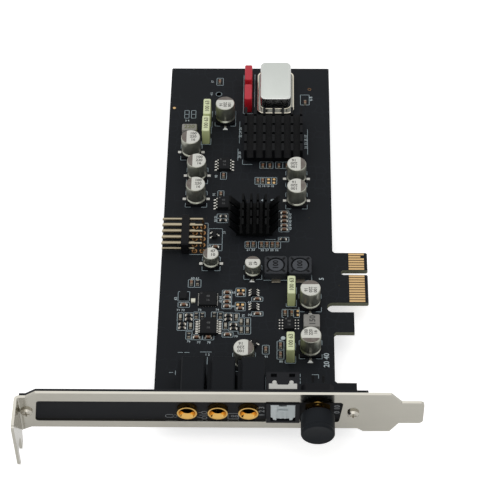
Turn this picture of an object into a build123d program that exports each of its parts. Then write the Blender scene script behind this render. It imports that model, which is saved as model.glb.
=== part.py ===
# Sound card for a short expansion slot, in millimetres.
# Origin: middle of the edge connector. X = 0 is the mating edge of the gold contacts, Y = 0 is the centre
# of the key notch and Z = 0 is the middle of the board's thickness.
# +X points out of the connector, +Y away from the bracket and +Z out of the component side.

import os
from math import cos, radians, sin

from build123d import *

os.makedirs("parts", exist_ok=True)

# Sides of the round forms that repeat
round_sides = 24
small_round_sides = 12
lead_sides = 6

# Circuit board
board_thickness = 1.6
body_width = 54.5
body_corner = 0.5
tongue_reach = 11.0
tongue_far = 8.1
tongue_near = 12.15
tongue_bevel = 0.5
key_width = 1.9
key_depth = 8.45
slot_width = 3.75
slot_depth = 13.0
hook_setback = 4.65
hook_width = 7.85
foot_setback = 4.45
foot_length = 12.95
far_margin = 2.9
inner_corner = 0.7

# Gold contacts
contact_pitch = 1.0
contact_width = 0.7
contact_length = 4.9
contact_setback = 1.05
contact_thickness = 0.05
contacts_near = 11
contacts_far = 7
contact_key_gap = 3.0
short_contact_cut = 1.1

# Bracket, a folded steel sheet
face_setback = 57.6
sheet = 0.86
bracket_rise = 14.3
bracket_height = 17.0
heel_drop = 1.45
tab_setback = 105.35
tab_length = 11.4
tab_top_drop = 2.25
tab_bottom_drop = 4.0
bend_radius = 1.3
notch_width = 4.42
notch_from_face = 6.7
notch_depth = 7.6
tongue_tip = 14.65
tongue_width = 10.1
tongue_length = 6.6
tongue_rise = 5.2
window_left = 99.0
window_right = 9.0
window_height = 9.9
window_rise = 5.4
window_slant = 1.2
screw_left = 102.35
screw_right = 6.1
screw_rise = 5.15
top_slant_start = 3.2
top_slant_end = 6.3

# Front panel
panel_thickness = 0.8
panel_left = 104.0
panel_right = 1.9
panel_drop = 0.5
fit_gap = 0.1

# Panel screws
screw_radius = 1.0
screw_length = 3.2
screw_head_radius = 1.8
screw_head_height = 1.1
screw_head_bevel = 0.55

# Jack sockets
jack_count = 3
jack_first = 54.95
jack_pitch = 9.03
jack_rise = 5.8
jack_body_left = 3.3
jack_body_right = 4.9
jack_strip_width = 1.2
jack_strip_drop = 2.0
jack_body_length = 15.8
jack_body_height = 9.6
jack_bore = 1.8
barrel_radius = 2.95
barrel_mouth = 2.5
barrel_mouth_depth = 1.3
barrel_proud = 0.9
jack_leg_width = 0.8
jack_leg_thickness = 0.3
jack_leg_spacing = 5.8
jack_leg_setbacks = (3.94, 12.54)
leg_below = 0.9
leg_hole_gap = 0.1
thread_gap = 0.02

# Optical output
optical_place = 26.75
optical_width = 9.9
optical_height = 10.0
optical_proud = 0.45
optical_length = 11.65
port_width = 7.4
port_bottom = 1.35
port_depth = 8.85
port_ceiling = 9.6
flap_gap = 0.1
flap_thickness = 0.8
flap_recess = 0.25
flap_pivot_rise = 9.05
flap_pin_radius = 0.4
flap_pin_length = 0.6
running_gap = 0.05
flap_bottom = 1.55
emitter_size = 5.0
emitter_depth = 1.6
emitter_rise = 5.0
lens_radius = 1.0
lens_proud = 0.3
top_window_width = 1.75
top_window_length = 1.35
top_window_depth = 1.2
insert_setback = 7.15
insert_width = 8.3
insert_length = 1.9
insert_thickness = 0.5
insert_post_radius = 0.65
insert_post_spacing = 5.0
emitter_leg_pitch = 1.9

# Volume control
pot_place = 16.55
pot_rise = 6.0
pot_width = 9.5
pot_depth = 5.3
pot_height = 10.2
shaft_radius = 1.75
shaft_inside = 4.0
shaft_in_knob = 5.5
bush_radius = 2.6
bush_length = 3.0
nut_size = 7.2
nut_thickness = 1.5
knob_radius = 5.0
knob_length = 6.65
knob_standoff = 1.9
knob_edge = 0.5
pot_leg_pitch = 2.5
pot_leg_setback = 3.94

# Electrolytic capacitors
large_can_radius = 3.15
large_can_height = 6.9
large_base = 6.6
small_can_radius = 2.5
small_can_height = 4.6
small_base = 5.3
base_thickness = 0.8
base_chamfer = 1.2
can_edge = 0.35
lead_width = 0.7
lead_thickness = 0.2
lead_reach = 0.9

# Film capacitors
film_width = 2.5
film_length = 7.2
film_height = 6.4
film_edge = 0.3
film_lead_pitch = 5.0
film_lead_radius = 0.25

# Metal-can oscillator
oscillator_width = 12.5
oscillator_length = 20.2
oscillator_flange = 0.8
oscillator_standoff = 0.6
oscillator_can_width = 10.4
oscillator_can_length = 17.6
oscillator_can_height = 6.0
oscillator_can_edge = 0.5
oscillator_bead = 0.9
oscillator_corner = 2.4
oscillator_pin_radius = 0.25
oscillator_pin_across = 7.62
oscillator_pin_along = 15.24

# Large heat sink, cross-cut fins
large_sink_width = 19.4
large_sink_length = 19.9
large_sink_height = 5.0
large_sink_base = 1.4
large_fins = 7
large_fin_rows = 5
large_fin_thickness = 0.85
large_fin_cut = 0.9

# Small heat sink, pins that lean outward
small_sink_width = 11.6
small_sink_length = 13.0
small_sink_base = 1.2
small_pin_rows = 4
small_pin_gap = 0.9
small_pin_height = 4.6
small_pin_foot = 1.1
small_pin_tip = 0.6
small_pin_leans = (-38, -7, 0, 0, 7, 36)

# Chips under the heat sinks
sink_chip_size = 10.0
sink_chip_height = 1.0
thermal_pad = 0.3

# Right-angle header
header_place = 69.64
header_pitch = 2.54
header_pins_per_row = 5
header_body_from_edge = 6.25
header_body_width = 2.5
header_body_height = 5.0
header_row_rise = 1.27
header_pin_size = 0.6
header_column = 10.4

# Inductors
power_inductor_size = 7.3
power_inductor_height = 3.0
power_inductor_place = 56.64
power_inductor_places = (-29.05, -21.4)
inductor_disc_radius = 2.6
inductor_corner = 0.9
inductor_plate = 0.2
inductor_plate_width = 3.0
moulded_inductor_height = 2.2

# Chips and passives
chip_pin_thickness = 0.15
passive_length = 1.6
passive_width = 0.8
passive_height = 0.6
resistor_height = 0.45
light_size = 1.3
light_height = 0.7
chip_top_edge = 0.15

# Heights and planes worked out from the sizes above
board_top = board_thickness / 2
board_bottom = -board_top
board_right = -tongue_reach
board_left = board_right - body_width
plate_front = -face_setback
plate_back = plate_front + sheet
panel_back = plate_back + panel_thickness
board_near = panel_back
bracket_top = board_top + bracket_rise
bracket_bottom = bracket_top - bracket_height
heel_bottom = bracket_bottom - heel_drop
tab_outer = -tab_setback
tab_top = bracket_top - tab_top_drop
tab_bottom = heel_bottom - tab_bottom_drop
jack_places = [-jack_first + jack_pitch * n for n in range(jack_count)]
jack_axis = board_top + jack_rise
jack_slot_outer = jack_body_left + fit_gap
jack_slot_inner = jack_bore - fit_gap
jack_slot_middle = (jack_slot_outer + jack_slot_inner) / 2
jack_slot_width = jack_slot_outer - jack_slot_inner
pot_x = -pot_place
pot_axis = board_top + pot_rise
optical_x = -optical_place
optical_front = plate_front - optical_proud
optical_back = optical_front + optical_length
optical_top = board_top + optical_height
flap_front = optical_front + flap_recess
flap_middle = flap_front + flap_thickness / 2
flap_axis = board_top + flap_pivot_rise
emitter_front = optical_front + port_depth + lens_proud
leg_slot = (jack_leg_width + 2 * leg_hole_gap, jack_leg_thickness + 2 * leg_hole_gap)
jack_leg_rows = [panel_back + setback for setback in jack_leg_setbacks]
pot_legs = [(pot_x + pot_leg_pitch * n, panel_back + pot_leg_setback) for n in (-1, 0, 1)]
emitter_legs = [(optical_x + emitter_leg_pitch * n, emitter_front + emitter_depth / 2) for n in (-1, 0, 1)]
film_lead_hole = film_lead_radius + leg_hole_gap
header_x = board_left + header_column
header_hole = header_pin_size + 2 * leg_hole_gap
sink_seat = board_top + sink_chip_height + thermal_pad
knob_back = plate_front - knob_standoff
header_y = board_near + header_place
power_inductor_y = board_near + power_inductor_place
can_seat = board_top + base_thickness


def placed(rows):
    # Places on the board are written as x from the mating edge and y from the bracket end of the board.
    return [(x, board_near + y, *rest) for x, y, *rest in rows]


# Oscillator and heat sinks: centres. The board ends a margin past the oscillator.
(
    (oscillator_x, oscillator_y),
    (large_sink_x, large_sink_y),
    (small_sink_x, small_sink_y),
) = placed([(-29.4, 134.64), (-30.05, 112.79), (-36.0, 76.44)])
board_far = oscillator_y + oscillator_length / 2 + far_margin

# Electrolytic capacitors: x, y, and the turn of the dark half of the can
large_cans = placed([
    (-46.4, 123.34, 90),
    (-57.5, 107.64, 180),
    (-55.2, 97.04, 180),
    (-55.2, 86.74, 180),
    (-22.4, 95.74, 0),
    (-22.4, 86.14, 0),
    (-18.3, 43.64, 90),
    (-18.3, 25.44, 270),
    (-38.6, 20.54, 0),
])
small_cans = placed([(-49.6, 59.34, 180), (-36.3, 55.84, 90)])
yellow_films = placed([(-52.5, 123.04), (-52.7, 115.14), (-24.15, 45.94), (-24.45, 24.04)])
red_films = placed([(-38.7, 139.34), (-38.7, 130.04)])
film_lead_places = [
    (x, y + side * film_lead_pitch / 2) for x, y in yellow_films + red_films for side in (-1, 1)
]
pot_slots = placed([(-17.7, 14.29), (-14.55, 14.29)])

# Moulded inductors: x, y, width, length
moulded_inductor_places = placed([(-58.4, 117.34, 5.0, 3.0), (-17.9, 35.14, 5.0, 4.9)])
light_place = placed([(-54.8, 44.04)])


def chip_entry(x, y, width, length, height, reach, pin, pitch, left, right):
    # A small chip: body size, how far its leads reach out, and the rows where they stand, if any.
    return {
        "x": x,
        "y": board_near + y,
        "width": width,
        "length": length,
        "height": height,
        "reach": reach,
        "pin": pin,
        "pitch": pitch,
        "left": left,
        "right": right,
    }


pairs = (-1, 1)
threes = (-1, 0, 1)
fours = (-1.5, -0.5, 0.5, 1.5)
eights = (-3.5, -2.5, -1.5, -0.5, 0.5, 1.5, 2.5, 3.5)
small_chips = [
    chip_entry(-50.2, 44.79, 5.6, 5.3, 0.9, 0, 0, 0, (), ()),
    chip_entry(-49.8, 33.74, 5.2, 6.2, 1.4, 1.2, 0.3, 0.65, eights, eights),
    chip_entry(-35.85, 47.54, 1.7, 2.9, 1.1, 0.6, 0.4, 0.95, threes, threes),
    chip_entry(-35.8, 41.94, 1.7, 2.9, 1.1, 0.6, 0.4, 0.95, threes, threes),
    chip_entry(-35.6, 27.34, 1.5, 2.9, 1.1, 0.6, 0.4, 0.95, pairs, (0,)),
    chip_entry(-46.3, 101.54, 3.9, 4.9, 1.5, 1.05, 0.42, 1.27, fours, fours),
    chip_entry(-46.25, 84.44, 3.9, 4.9, 1.5, 1.05, 0.42, 1.27, fours, fours),
    chip_entry(-24.9, 35.09, 3.2, 4.5, 1.0, 0, 0, 0, (), ()),
    chip_entry(-48.8, 71.14, 1.5, 2.9, 1.1, 0.6, 0.4, 0.95, pairs, (0,)),
    chip_entry(-57.9, 46.14, 2.2, 3.0, 0.9, 0, 0, 0, (), ()),
]

# Small parts, 1.6 by 0.8: centres of those along X (across) and of those along Y (along)
capacitors_across = placed([
    (-44.25, 47.64),
    (-44.25, 45.74),
    (-44.25, 43.94),
    (-44.25, 42.14),
    (-40.0, 46.94),
    (-40.1, 41.34),
    (-34.8, 45.04),
    (-34.7, 39.24),
    (-53.3, 29.94),
    (-49.7, 29.94),
    (-43.8, 31.04),
    (-57.7, 42.64),
    (-48.4, 66.34),
    (-26.4, 80.94),
    (-26.4, 79.14),
    (-26.4, 77.34),
    (-26.4, 75.44),
    (-26.4, 73.74),
])
capacitors_along = placed([
    (-58.6, 37.74),
    (-55.3, 34.34),
    (-44.5, 34.44),
    (-41.2, 37.84),
    (-39.7, 36.04),
    (-37.7, 36.04),
    (-39.6, 32.84),
    (-37.7, 32.84),
    (-55.6, 51.54),
    (-38.1, 67.44),
    (-36.3, 67.44),
    (-33.7, 67.44),
    (-31.9, 67.44),
    (-30.2, 67.44),
    (-28.5, 67.44),
    (-35.1, 94.84),
    (-33.5, 94.84),
    (-33.5, 101.54),
    (-31.2, 101.54),
    (-28.2, 101.54),
    (-25.5, 101.54),
    (-32.0, 25.34),
    (-27.5, 26.94),
    (-27.5, 23.44),
    (-48.7, 140.94),
    (-46.5, 97.14),
    (-47.2, 88.84),
    (-19.3, 130.94),
    (-26.1, 39.64),
    (-24.0, 39.64),
])
resistors_across = placed([
    (-56.0, 38.54),
    (-56.0, 36.94),
    (-43.7, 38.54),
    (-43.7, 36.94),
    (-42.1, 34.94),
    (-42.0, 33.34),
    (-57.9, 35.04),
    (-57.9, 33.54),
    (-46.2, 79.34),
    (-46.2, 77.64),
    (-26.7, 69.64),
])
resistors_along = placed([
    (-53.7, 38.34),
    (-51.8, 38.34),
    (-48.1, 38.54),
    (-46.2, 38.24),
    (-55.7, 30.54),
    (-53.7, 51.54),
])


def front_plane(y):
    # Drawn as seen from the bracket side: X to the right, Z up, normal towards -Y.
    return Plane.XZ.offset(-y)


def save(piece, name):
    # A finished piece is labelled and written under its own name.
    piece.part.label = name
    export_step(piece.part, f"parts/{name}.step")


# Circuit board: outline with the tongue, key notch, round-ended slot, hook tab and foot
slot_far = -tongue_near
slot_near = slot_far - slot_width
hook_near = slot_near - hook_width
foot_far = board_near + foot_length
board_outline = [
    (board_left, board_near),
    (board_left, board_far),
    (board_right, board_far),
    (board_right, tongue_far),
    (0, tongue_far),
    (0, slot_far),
    (-slot_depth + slot_width / 2, slot_far),
    (-slot_depth + slot_width / 2, slot_near),
    (-hook_setback, slot_near),
    (-hook_setback, hook_near),
    (board_right, hook_near),
    (board_right, foot_far),
    (-foot_setback, foot_far),
    (-foot_setback, board_near),
]
with BuildPart() as circuit_board:
    with BuildSketch(Plane.XY.offset(board_bottom)):
        with BuildLine():
            Polyline(*board_outline, close=True)
        make_face()
        with Locations((-slot_depth + slot_width / 2, (slot_far + slot_near) / 2)):
            Circle(slot_width / 2, mode=Mode.SUBTRACT)
        with Locations((-key_depth / 2 + key_width / 4, 0)):
            Rectangle(key_depth - key_width / 2, key_width, mode=Mode.SUBTRACT)
        with Locations((-key_depth + key_width / 2, 0)):
            Circle(key_width / 2, mode=Mode.SUBTRACT)
    extrude(amount=board_thickness)
    uprights = circuit_board.edges().filter_by(Axis.Z)
    far_corners = uprights.group_by(Axis.Y)[-1]
    fillet(far_corners, radius=body_corner)
    uprights = circuit_board.edges().filter_by(Axis.Z)
    inner = [
        edge
        for edge in uprights
        if abs(edge.center().X - board_right) < 0.01
        and min(abs(edge.center().Y - y) for y in (tongue_far, hook_near, foot_far)) < 0.01
    ]
    chamfer(inner, length=inner_corner)
    mating_edges = circuit_board.edges().filter_by(Axis.Y).group_by(Axis.X)[-1]
    chamfer(mating_edges, length=tongue_bevel * 0.7, length2=tongue_bevel)
    with BuildSketch(Plane.XY.offset(board_bottom)):
        for x in jack_places:
            legs_x = (x - jack_leg_spacing / 2, x + jack_leg_spacing / 2)
            with Locations(*[(leg_x, y) for y in jack_leg_rows for leg_x in legs_x]):
                Rectangle(*leg_slot, rotation=90)
        with Locations(*pot_legs, *emitter_legs):
            Rectangle(*leg_slot)
        with Locations(*film_lead_places):
            RegularPolygon(film_lead_hole, lead_sides, major_radius=False)
        with Locations((header_x + header_pitch / 2, header_y)):
            with GridLocations(header_pitch, header_pitch, 2, header_pins_per_row):
                Rectangle(header_hole, header_hole)
        with Locations((oscillator_x, oscillator_y)):
            with GridLocations(oscillator_pin_across, oscillator_pin_along, 2, 2):
                RegularPolygon(film_lead_hole, lead_sides, major_radius=False)
        with Locations(*pot_slots):
            Rectangle(0.7, 2.5)
    extrude(amount=board_thickness, mode=Mode.SUBTRACT)
save(circuit_board, "circuit_board")

# Edge contacts: both sides of the tongue, with one short contact on the component side
contact_rows = [-contact_key_gap / 2 - contact_pitch * n for n in range(contacts_near)]
contact_rows += [contact_key_gap / 2 + contact_pitch * n for n in range(contacts_far)]
short_row = contact_key_gap / 2 + contact_pitch * (contacts_far - 2)
contact_middle = -contact_setback - contact_length / 2
with BuildPart() as edge_contacts:
    for side in (1, -1):
        with BuildSketch(Plane.XY.offset(side * board_top)):
            for y in contact_rows:
                cut = short_contact_cut if y == short_row and side == 1 else 0
                with Locations((contact_middle - cut / 2, y)):
                    Rectangle(contact_length - cut, contact_width)
        extrude(amount=side * contact_thickness)
save(edge_contacts, "edge_contacts")

# Bracket: one folded sheet, cut to the outline of its face and of its bent tab
tongue_low = board_top + tongue_rise - tongue_width / 2
tongue_high = tongue_low + tongue_width
shoulder = tongue_tip - tongue_length
face_outline = [
    (tab_outer, tab_top),
    (tab_outer + top_slant_start, tab_top),
    (tab_outer + top_slant_end, bracket_top),
    (shoulder - 3.3, bracket_top),
    (shoulder, tongue_high),
    (tongue_tip, tongue_high),
    (tongue_tip, tongue_low),
    (shoulder - 0.5, tongue_low),
    (shoulder - 3.1, heel_bottom),
    (shoulder - 10.9, heel_bottom),
    (shoulder - 12.7, bracket_bottom),
    (tab_outer + 3.8, bracket_bottom),
    (tab_outer + 1.3, heel_bottom),
    (tab_outer, heel_bottom),
]
tab_end = plate_back - tab_length
notch_y = plate_front - notch_from_face
notch_top = tab_bottom + notch_depth - notch_width / 2
prong_end = tab_bottom + 0.4
tab_outline = [
    (plate_back, tab_top),
    (tab_end, tab_top),
    (tab_end, tab_bottom),
    (notch_y - notch_width / 2, tab_bottom),
    (notch_y - notch_width / 2, notch_top),
    (notch_y + notch_width / 2, notch_top),
    (notch_y + notch_width / 2, prong_end),
    (plate_back - 2.6, prong_end),
    (plate_back - bend_radius, heel_bottom),
    (plate_back, heel_bottom),
]
with BuildPart() as bracket_outline:
    with BuildSketch(front_plane(plate_front - bend_radius)) as face_shape:
        with BuildLine():
            Polyline(*face_outline, close=True)
        make_face()
        tip_corners = face_shape.vertices().group_by(Axis.X)[-1]
        fillet(tip_corners, radius=1.4)
    extrude(amount=-(bend_radius + sheet))
    with BuildSketch(Plane.YZ.offset(tab_outer)) as tab_shape:
        with BuildLine():
            Polyline(*tab_outline, close=True)
        make_face()
        end_corners = tab_shape.vertices().group_by(Axis.X)[0]
        fillet(end_corners, radius=1.6)
        with Locations((notch_y, notch_top)):
            Circle(notch_width / 2, mode=Mode.SUBTRACT)
    extrude(amount=bend_radius)

window_low = board_top + window_rise - window_height / 2
window_top = window_low + window_height
window_outline = [
    (-window_left, window_top),
    (-window_right, window_top),
    (-window_right - window_slant, window_low),
    (-window_left - window_slant, window_low),
]
screw_places = [(-screw_left, board_top + screw_rise), (-screw_right, board_top + screw_rise)]
fold_middle = sheet / 2
with BuildPart() as bracket:
    with BuildSketch(Plane.XY.offset(tab_bottom)):
        with BuildLine():
            FilletPolyline(
                (tongue_tip, plate_front + fold_middle),
                (tab_outer + fold_middle, plate_front + fold_middle),
                (tab_outer + fold_middle, tab_end),
                radius=bend_radius - fold_middle,
            )
        trace(line_width=sheet)
    extrude(amount=bracket_top - tab_bottom)
    add(bracket_outline.part, mode=Mode.INTERSECT)
    with BuildSketch(front_plane(plate_front)) as window_shape:
        with BuildLine():
            Polyline(*window_outline, close=True)
        make_face()
        fillet(window_shape.vertices(), radius=1.0)
        with Locations(*screw_places):
            RegularPolygon(screw_radius + fit_gap, small_round_sides, major_radius=False)
    extrude(amount=-sheet, mode=Mode.SUBTRACT)
save(bracket, "bracket")

# Front panel: flat plate behind the window, with a hole for each connector
panel_low = board_bottom - panel_drop
panel_outline = [
    (-panel_left, panel_low),
    (-panel_left, tab_top),
    (tab_outer + top_slant_start, tab_top),
    (tab_outer + top_slant_end, bracket_top),
    (-panel_right, bracket_top),
    (-panel_right, panel_low),
]
with BuildPart() as front_panel:
    with BuildSketch(front_plane(plate_back)):
        with BuildLine():
            Polyline(*panel_outline, close=True)
        make_face()
        with Locations(*[(x, jack_axis) for x in jack_places]):
            RegularPolygon(barrel_radius + fit_gap, round_sides, major_radius=False, mode=Mode.SUBTRACT)
        with Locations((pot_x, pot_axis)):
            RegularPolygon(bush_radius + fit_gap, round_sides, major_radius=False, mode=Mode.SUBTRACT)
        with Locations((optical_x, board_top + optical_height / 2)):
            Rectangle(optical_width + 2 * fit_gap, optical_height + 2 * fit_gap, mode=Mode.SUBTRACT)
        with Locations(*screw_places):
            RegularPolygon(
                screw_radius + running_gap, small_round_sides, major_radius=False, mode=Mode.SUBTRACT
            )
    extrude(amount=-panel_thickness)
save(front_panel, "front_panel")

# Panel screws: domed heads with a cross recess, shanks through bracket and panel
recess_depth = 0.6
recess_slot = 0.45
with BuildPart() as bracket_screws:
    for x, z in screw_places:
        with BuildSketch(front_plane(plate_front)):
            with Locations((x, z)):
                RegularPolygon(screw_head_radius, round_sides)
        extrude(amount=screw_head_height)
    head_rims = bracket_screws.edges().group_by(Axis.Y)[0]
    chamfer(head_rims, length=screw_head_bevel)
    with BuildSketch(front_plane(plate_front)):
        with Locations(*screw_places):
            RegularPolygon(screw_radius, small_round_sides)
    extrude(amount=-screw_length)
    with BuildSketch(front_plane(plate_front - screw_head_height)):
        with Locations(*screw_places):
            Rectangle(2 * screw_radius, recess_slot)
            Rectangle(recess_slot, 2 * screw_radius)
    extrude(amount=-recess_depth, taper=15, mode=Mode.SUBTRACT)
save(bracket_screws, "bracket_screws")


def make_jack_housing(x):
    # Moulded block with the bore along Y, a stepped left side and slots for the spring contacts.
    left = x - jack_body_left
    right = x + jack_body_right
    body_outline = [
        (left, board_top),
        (left, board_top + jack_body_height - jack_strip_drop),
        (left + jack_strip_width, board_top + jack_body_height - jack_strip_drop),
        (left + jack_strip_width, board_top + jack_body_height),
        (right, board_top + jack_body_height),
        (right, board_top),
    ]
    with BuildPart() as housing:
        with BuildSketch(front_plane(panel_back)):
            with BuildLine():
                Polyline(*body_outline, close=True)
            make_face()
        extrude(amount=-jack_body_length)
        top_rim = housing.faces().sort_by(Axis.Z)[-1].edges()
        chamfer(top_rim, length=0.4)
        with BuildSketch(front_plane(panel_back)):
            with Locations((x, jack_axis)):
                Circle(jack_bore)
        extrude(amount=-(jack_body_length - 1.2), mode=Mode.SUBTRACT)
        for side in (-1, 1):
            for y in jack_leg_rows:
                with BuildSketch(Plane.XY.offset(board_top)):
                    with Locations((x + side * jack_slot_middle, y)):
                        Rectangle(jack_slot_width, jack_leg_width + 2 * fit_gap)
                extrude(amount=jack_rise + jack_leg_thickness, mode=Mode.SUBTRACT)
    return housing


def make_jack_barrel(x):
    # Turned ring with a flared mouth, seated on the housing behind it.
    tip = plate_front - barrel_proud
    with BuildPart() as barrel:
        with BuildSketch(Plane.YZ.offset(x)):
            with BuildLine():
                Polyline(
                    (tip, jack_axis + barrel_mouth),
                    (tip, jack_axis + barrel_radius),
                    (panel_back, jack_axis + barrel_radius),
                    (panel_back, jack_axis + jack_bore),
                    (tip + barrel_mouth_depth, jack_axis + jack_bore),
                    close=True,
                )
            make_face()
        revolve(axis=Axis((x, 0, jack_axis), (0, 1, 0)))
    return barrel


for index, jack_x in enumerate(jack_places, start=1):
    save(make_jack_housing(jack_x), f"jack_{index}_housing")
    save(make_jack_barrel(jack_x), f"jack_{index}_barrel")

# Jack contacts: four bent strips in each socket, with legs through the board
leg_end = board_bottom - leg_below
inside = jack_leg_spacing / 2 - jack_leg_thickness / 2
outside = inside + jack_leg_thickness
finger_top = jack_axis + jack_leg_thickness / 2
finger_low = finger_top - jack_leg_thickness
with BuildPart() as jack_contacts:
    for x in jack_places:
        for y in jack_leg_rows:
            for side in (-1, 1):
                strip = [
                    (inside, leg_end),
                    (outside, leg_end),
                    (outside, finger_top),
                    (jack_bore, finger_top),
                    (jack_bore, finger_low),
                    (inside, finger_low),
                ]
                with BuildSketch(front_plane(y)):
                    with BuildLine():
                        Polyline(*[(x + side * across, z) for across, z in strip], close=True)
                    make_face()
                extrude(amount=jack_leg_width / 2, both=True)
save(jack_contacts, "jack_contacts")

# Optical output housing: port with room for the flap, pivot holes, rear pocket and two top windows
port_low = board_top + port_bottom
port_high = board_top + port_ceiling
port_back = optical_front + port_depth
emitter_z = board_top + emitter_rise
pocket_top = emitter_z + emitter_size / 2 + fit_gap
top_window_y = optical_back - top_window_length / 2 - 0.5
with BuildPart() as optical_housing:
    with BuildSketch(front_plane(optical_front)) as port_face:
        with Locations((optical_x, board_top + optical_height / 2)):
            Rectangle(optical_width, optical_height)
        chamfer(port_face.vertices().group_by(Axis.Y)[0], length=0.6)
    extrude(amount=-optical_length)
    with BuildSketch(front_plane(optical_front)):
        with Locations((optical_x, (port_low + port_high) / 2)):
            Rectangle(port_width, port_high - port_low)
    extrude(amount=-port_depth, mode=Mode.SUBTRACT)
    with BuildSketch(front_plane(port_back)):
        with Locations((optical_x, (board_top + pocket_top) / 2)):
            Rectangle(emitter_size + 2 * fit_gap, pocket_top - board_top)
    extrude(amount=-(emitter_depth + lens_proud), mode=Mode.SUBTRACT)
    with BuildSketch(Plane.YZ.offset(optical_x)):
        with Locations((flap_middle, flap_axis)):
            Circle(flap_pin_radius + running_gap)
    extrude(amount=port_width / 2 + flap_pin_length + fit_gap, both=True, mode=Mode.SUBTRACT)
    with BuildSketch(Plane.XY.offset(optical_top)):
        with Locations((optical_x - 2.7, top_window_y), (optical_x + 2.7, top_window_y)):
            Rectangle(top_window_width, top_window_length)
    extrude(amount=-top_window_depth, mode=Mode.SUBTRACT)
    with BuildSketch(front_plane(optical_front)):
        with Locations((optical_x, (board_top + window_low + fit_gap) / 2)):
            Rectangle(optical_width, window_low + fit_gap - board_top)
    extrude(amount=optical_front - plate_back, mode=Mode.SUBTRACT)
save(optical_housing, "optical_housing")

# Optical flap: plate on a round hinge pin, with cut corners, a top notch and a pressed frame
flap_width = port_width - 2 * flap_gap
flap_low = board_top + flap_bottom
flap_half = flap_width / 2
flap_outline = [
    (-flap_half, flap_axis),
    (-flap_half, flap_low + 1.3),
    (-flap_half + 0.7, flap_low + 0.9),
    (-flap_half + 0.9, flap_low + 0.2),
    (-flap_half + 1.6, flap_low),
    (flap_half - 1.6, flap_low),
    (flap_half - 0.9, flap_low + 0.2),
    (flap_half - 0.7, flap_low + 0.9),
    (flap_half, flap_low + 1.3),
    (flap_half, flap_axis),
]
flap_notch = 2.4
flap_rib = 0.2
with BuildPart() as optical_flap:
    with BuildSketch(front_plane(flap_middle)):
        with BuildLine():
            Polyline(*[(optical_x + x, z) for x, z in flap_outline], close=True)
        make_face()
    extrude(amount=flap_thickness / 2, both=True)
    with BuildSketch(Plane.YZ.offset(optical_x)):
        with Locations((flap_middle, flap_axis)):
            Circle(flap_pin_radius)
    extrude(amount=port_width / 2 + flap_pin_length, both=True)
    with BuildSketch(front_plane(flap_middle - flap_pin_radius)):
        with Locations((optical_x, flap_axis + flap_pin_radius)):
            Rectangle(flap_notch, 2 * flap_pin_radius)
    extrude(amount=-1.5 * flap_pin_radius, mode=Mode.SUBTRACT)
    with BuildSketch(front_plane(flap_front)):
        with Locations((optical_x, (flap_low + flap_axis) / 2 - 0.6)):
            Rectangle(3.4, flap_axis - flap_low - 2.2)
            Rectangle(2.0, flap_axis - flap_low - 3.0, mode=Mode.SUBTRACT)
    extrude(amount=-flap_rib, mode=Mode.SUBTRACT)
save(optical_flap, "optical_flap")

# Light source in the rear pocket, with a round lens and three legs
with BuildPart() as optical_emitter:
    with BuildSketch(front_plane(emitter_front)):
        with Locations((optical_x, emitter_z)):
            Rectangle(emitter_size, emitter_size)
    extrude(amount=-emitter_depth)
    with BuildSketch(front_plane(emitter_front)):
        with Locations((optical_x, emitter_z)):
            RegularPolygon(lens_radius, small_round_sides)
    extrude(amount=lens_proud)
save(optical_emitter, "optical_emitter")

# Pale insert on top of the optical housing, with a notch and two round posts behind it
insert_back = optical_front + insert_setback
insert_front = insert_back - insert_length
post_y = insert_back + insert_post_radius * 0.8
with BuildPart() as optical_insert:
    with BuildSketch(Plane.XY.offset(optical_top)):
        with Locations((optical_x, (insert_front + insert_back) / 2)):
            Rectangle(insert_width, insert_length)
        with Locations((optical_x, insert_back)):
            Rectangle(3.2, 0.8, mode=Mode.SUBTRACT)
        for side in (-1, 1):
            with Locations((optical_x + side * insert_post_spacing / 2, post_y)):
                RegularPolygon(insert_post_radius, small_round_sides)
    extrude(amount=insert_thickness)
save(optical_insert, "optical_insert")

# Volume control body, with chamfered top corners and a bore for the shaft
shaft_back = panel_back + shaft_inside
with BuildPart() as volume_body:
    with BuildSketch(front_plane(panel_back)) as pot_face:
        with Locations((pot_x, board_top + pot_height / 2)):
            Rectangle(pot_width, pot_height)
        chamfer(pot_face.vertices().group_by(Axis.Y)[-1], length=1.2)
    extrude(amount=-pot_depth)
    with BuildSketch(front_plane(panel_back)):
        with Locations((pot_x, pot_axis)):
            Circle(shaft_radius + running_gap)
    extrude(amount=-(shaft_inside + running_gap), mode=Mode.SUBTRACT)
save(volume_body, "volume_body")

with BuildPart() as volume_bush:
    with BuildSketch(front_plane(panel_back)):
        with Locations((pot_x, pot_axis)):
            Circle(bush_radius)
            Circle(shaft_radius + running_gap, mode=Mode.SUBTRACT)
    extrude(amount=bush_length)
save(volume_bush, "volume_bush")

with BuildPart() as volume_nut:
    with BuildSketch(front_plane(plate_back)):
        with Locations((pot_x, pot_axis)):
            RegularPolygon(nut_size / 2, 6, major_radius=False, rotation=30)
            Circle(bush_radius + thread_gap, mode=Mode.SUBTRACT)
    extrude(amount=nut_thickness)
save(volume_nut, "volume_nut")

knob_socket = knob_back - shaft_in_knob
with BuildPart() as volume_shaft:
    with BuildSketch(front_plane(shaft_back)):
        with Locations((pot_x, pot_axis)):
            Circle(shaft_radius)
    extrude(amount=shaft_back - knob_socket)
save(volume_shaft, "volume_shaft")

with BuildPart() as volume_knob:
    with BuildSketch(front_plane(knob_back)):
        with Locations((pot_x, pot_axis)):
            Circle(knob_radius)
    extrude(amount=knob_length)
    chamfer(volume_knob.faces().sort_by(Axis.Y)[0].edges(), length=knob_edge)
    with BuildSketch(front_plane(knob_back)):
        with Locations((pot_x, pot_axis)):
            Circle(shaft_radius + thread_gap)
    extrude(amount=shaft_in_knob, mode=Mode.SUBTRACT)
save(volume_knob, "volume_knob")

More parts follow.
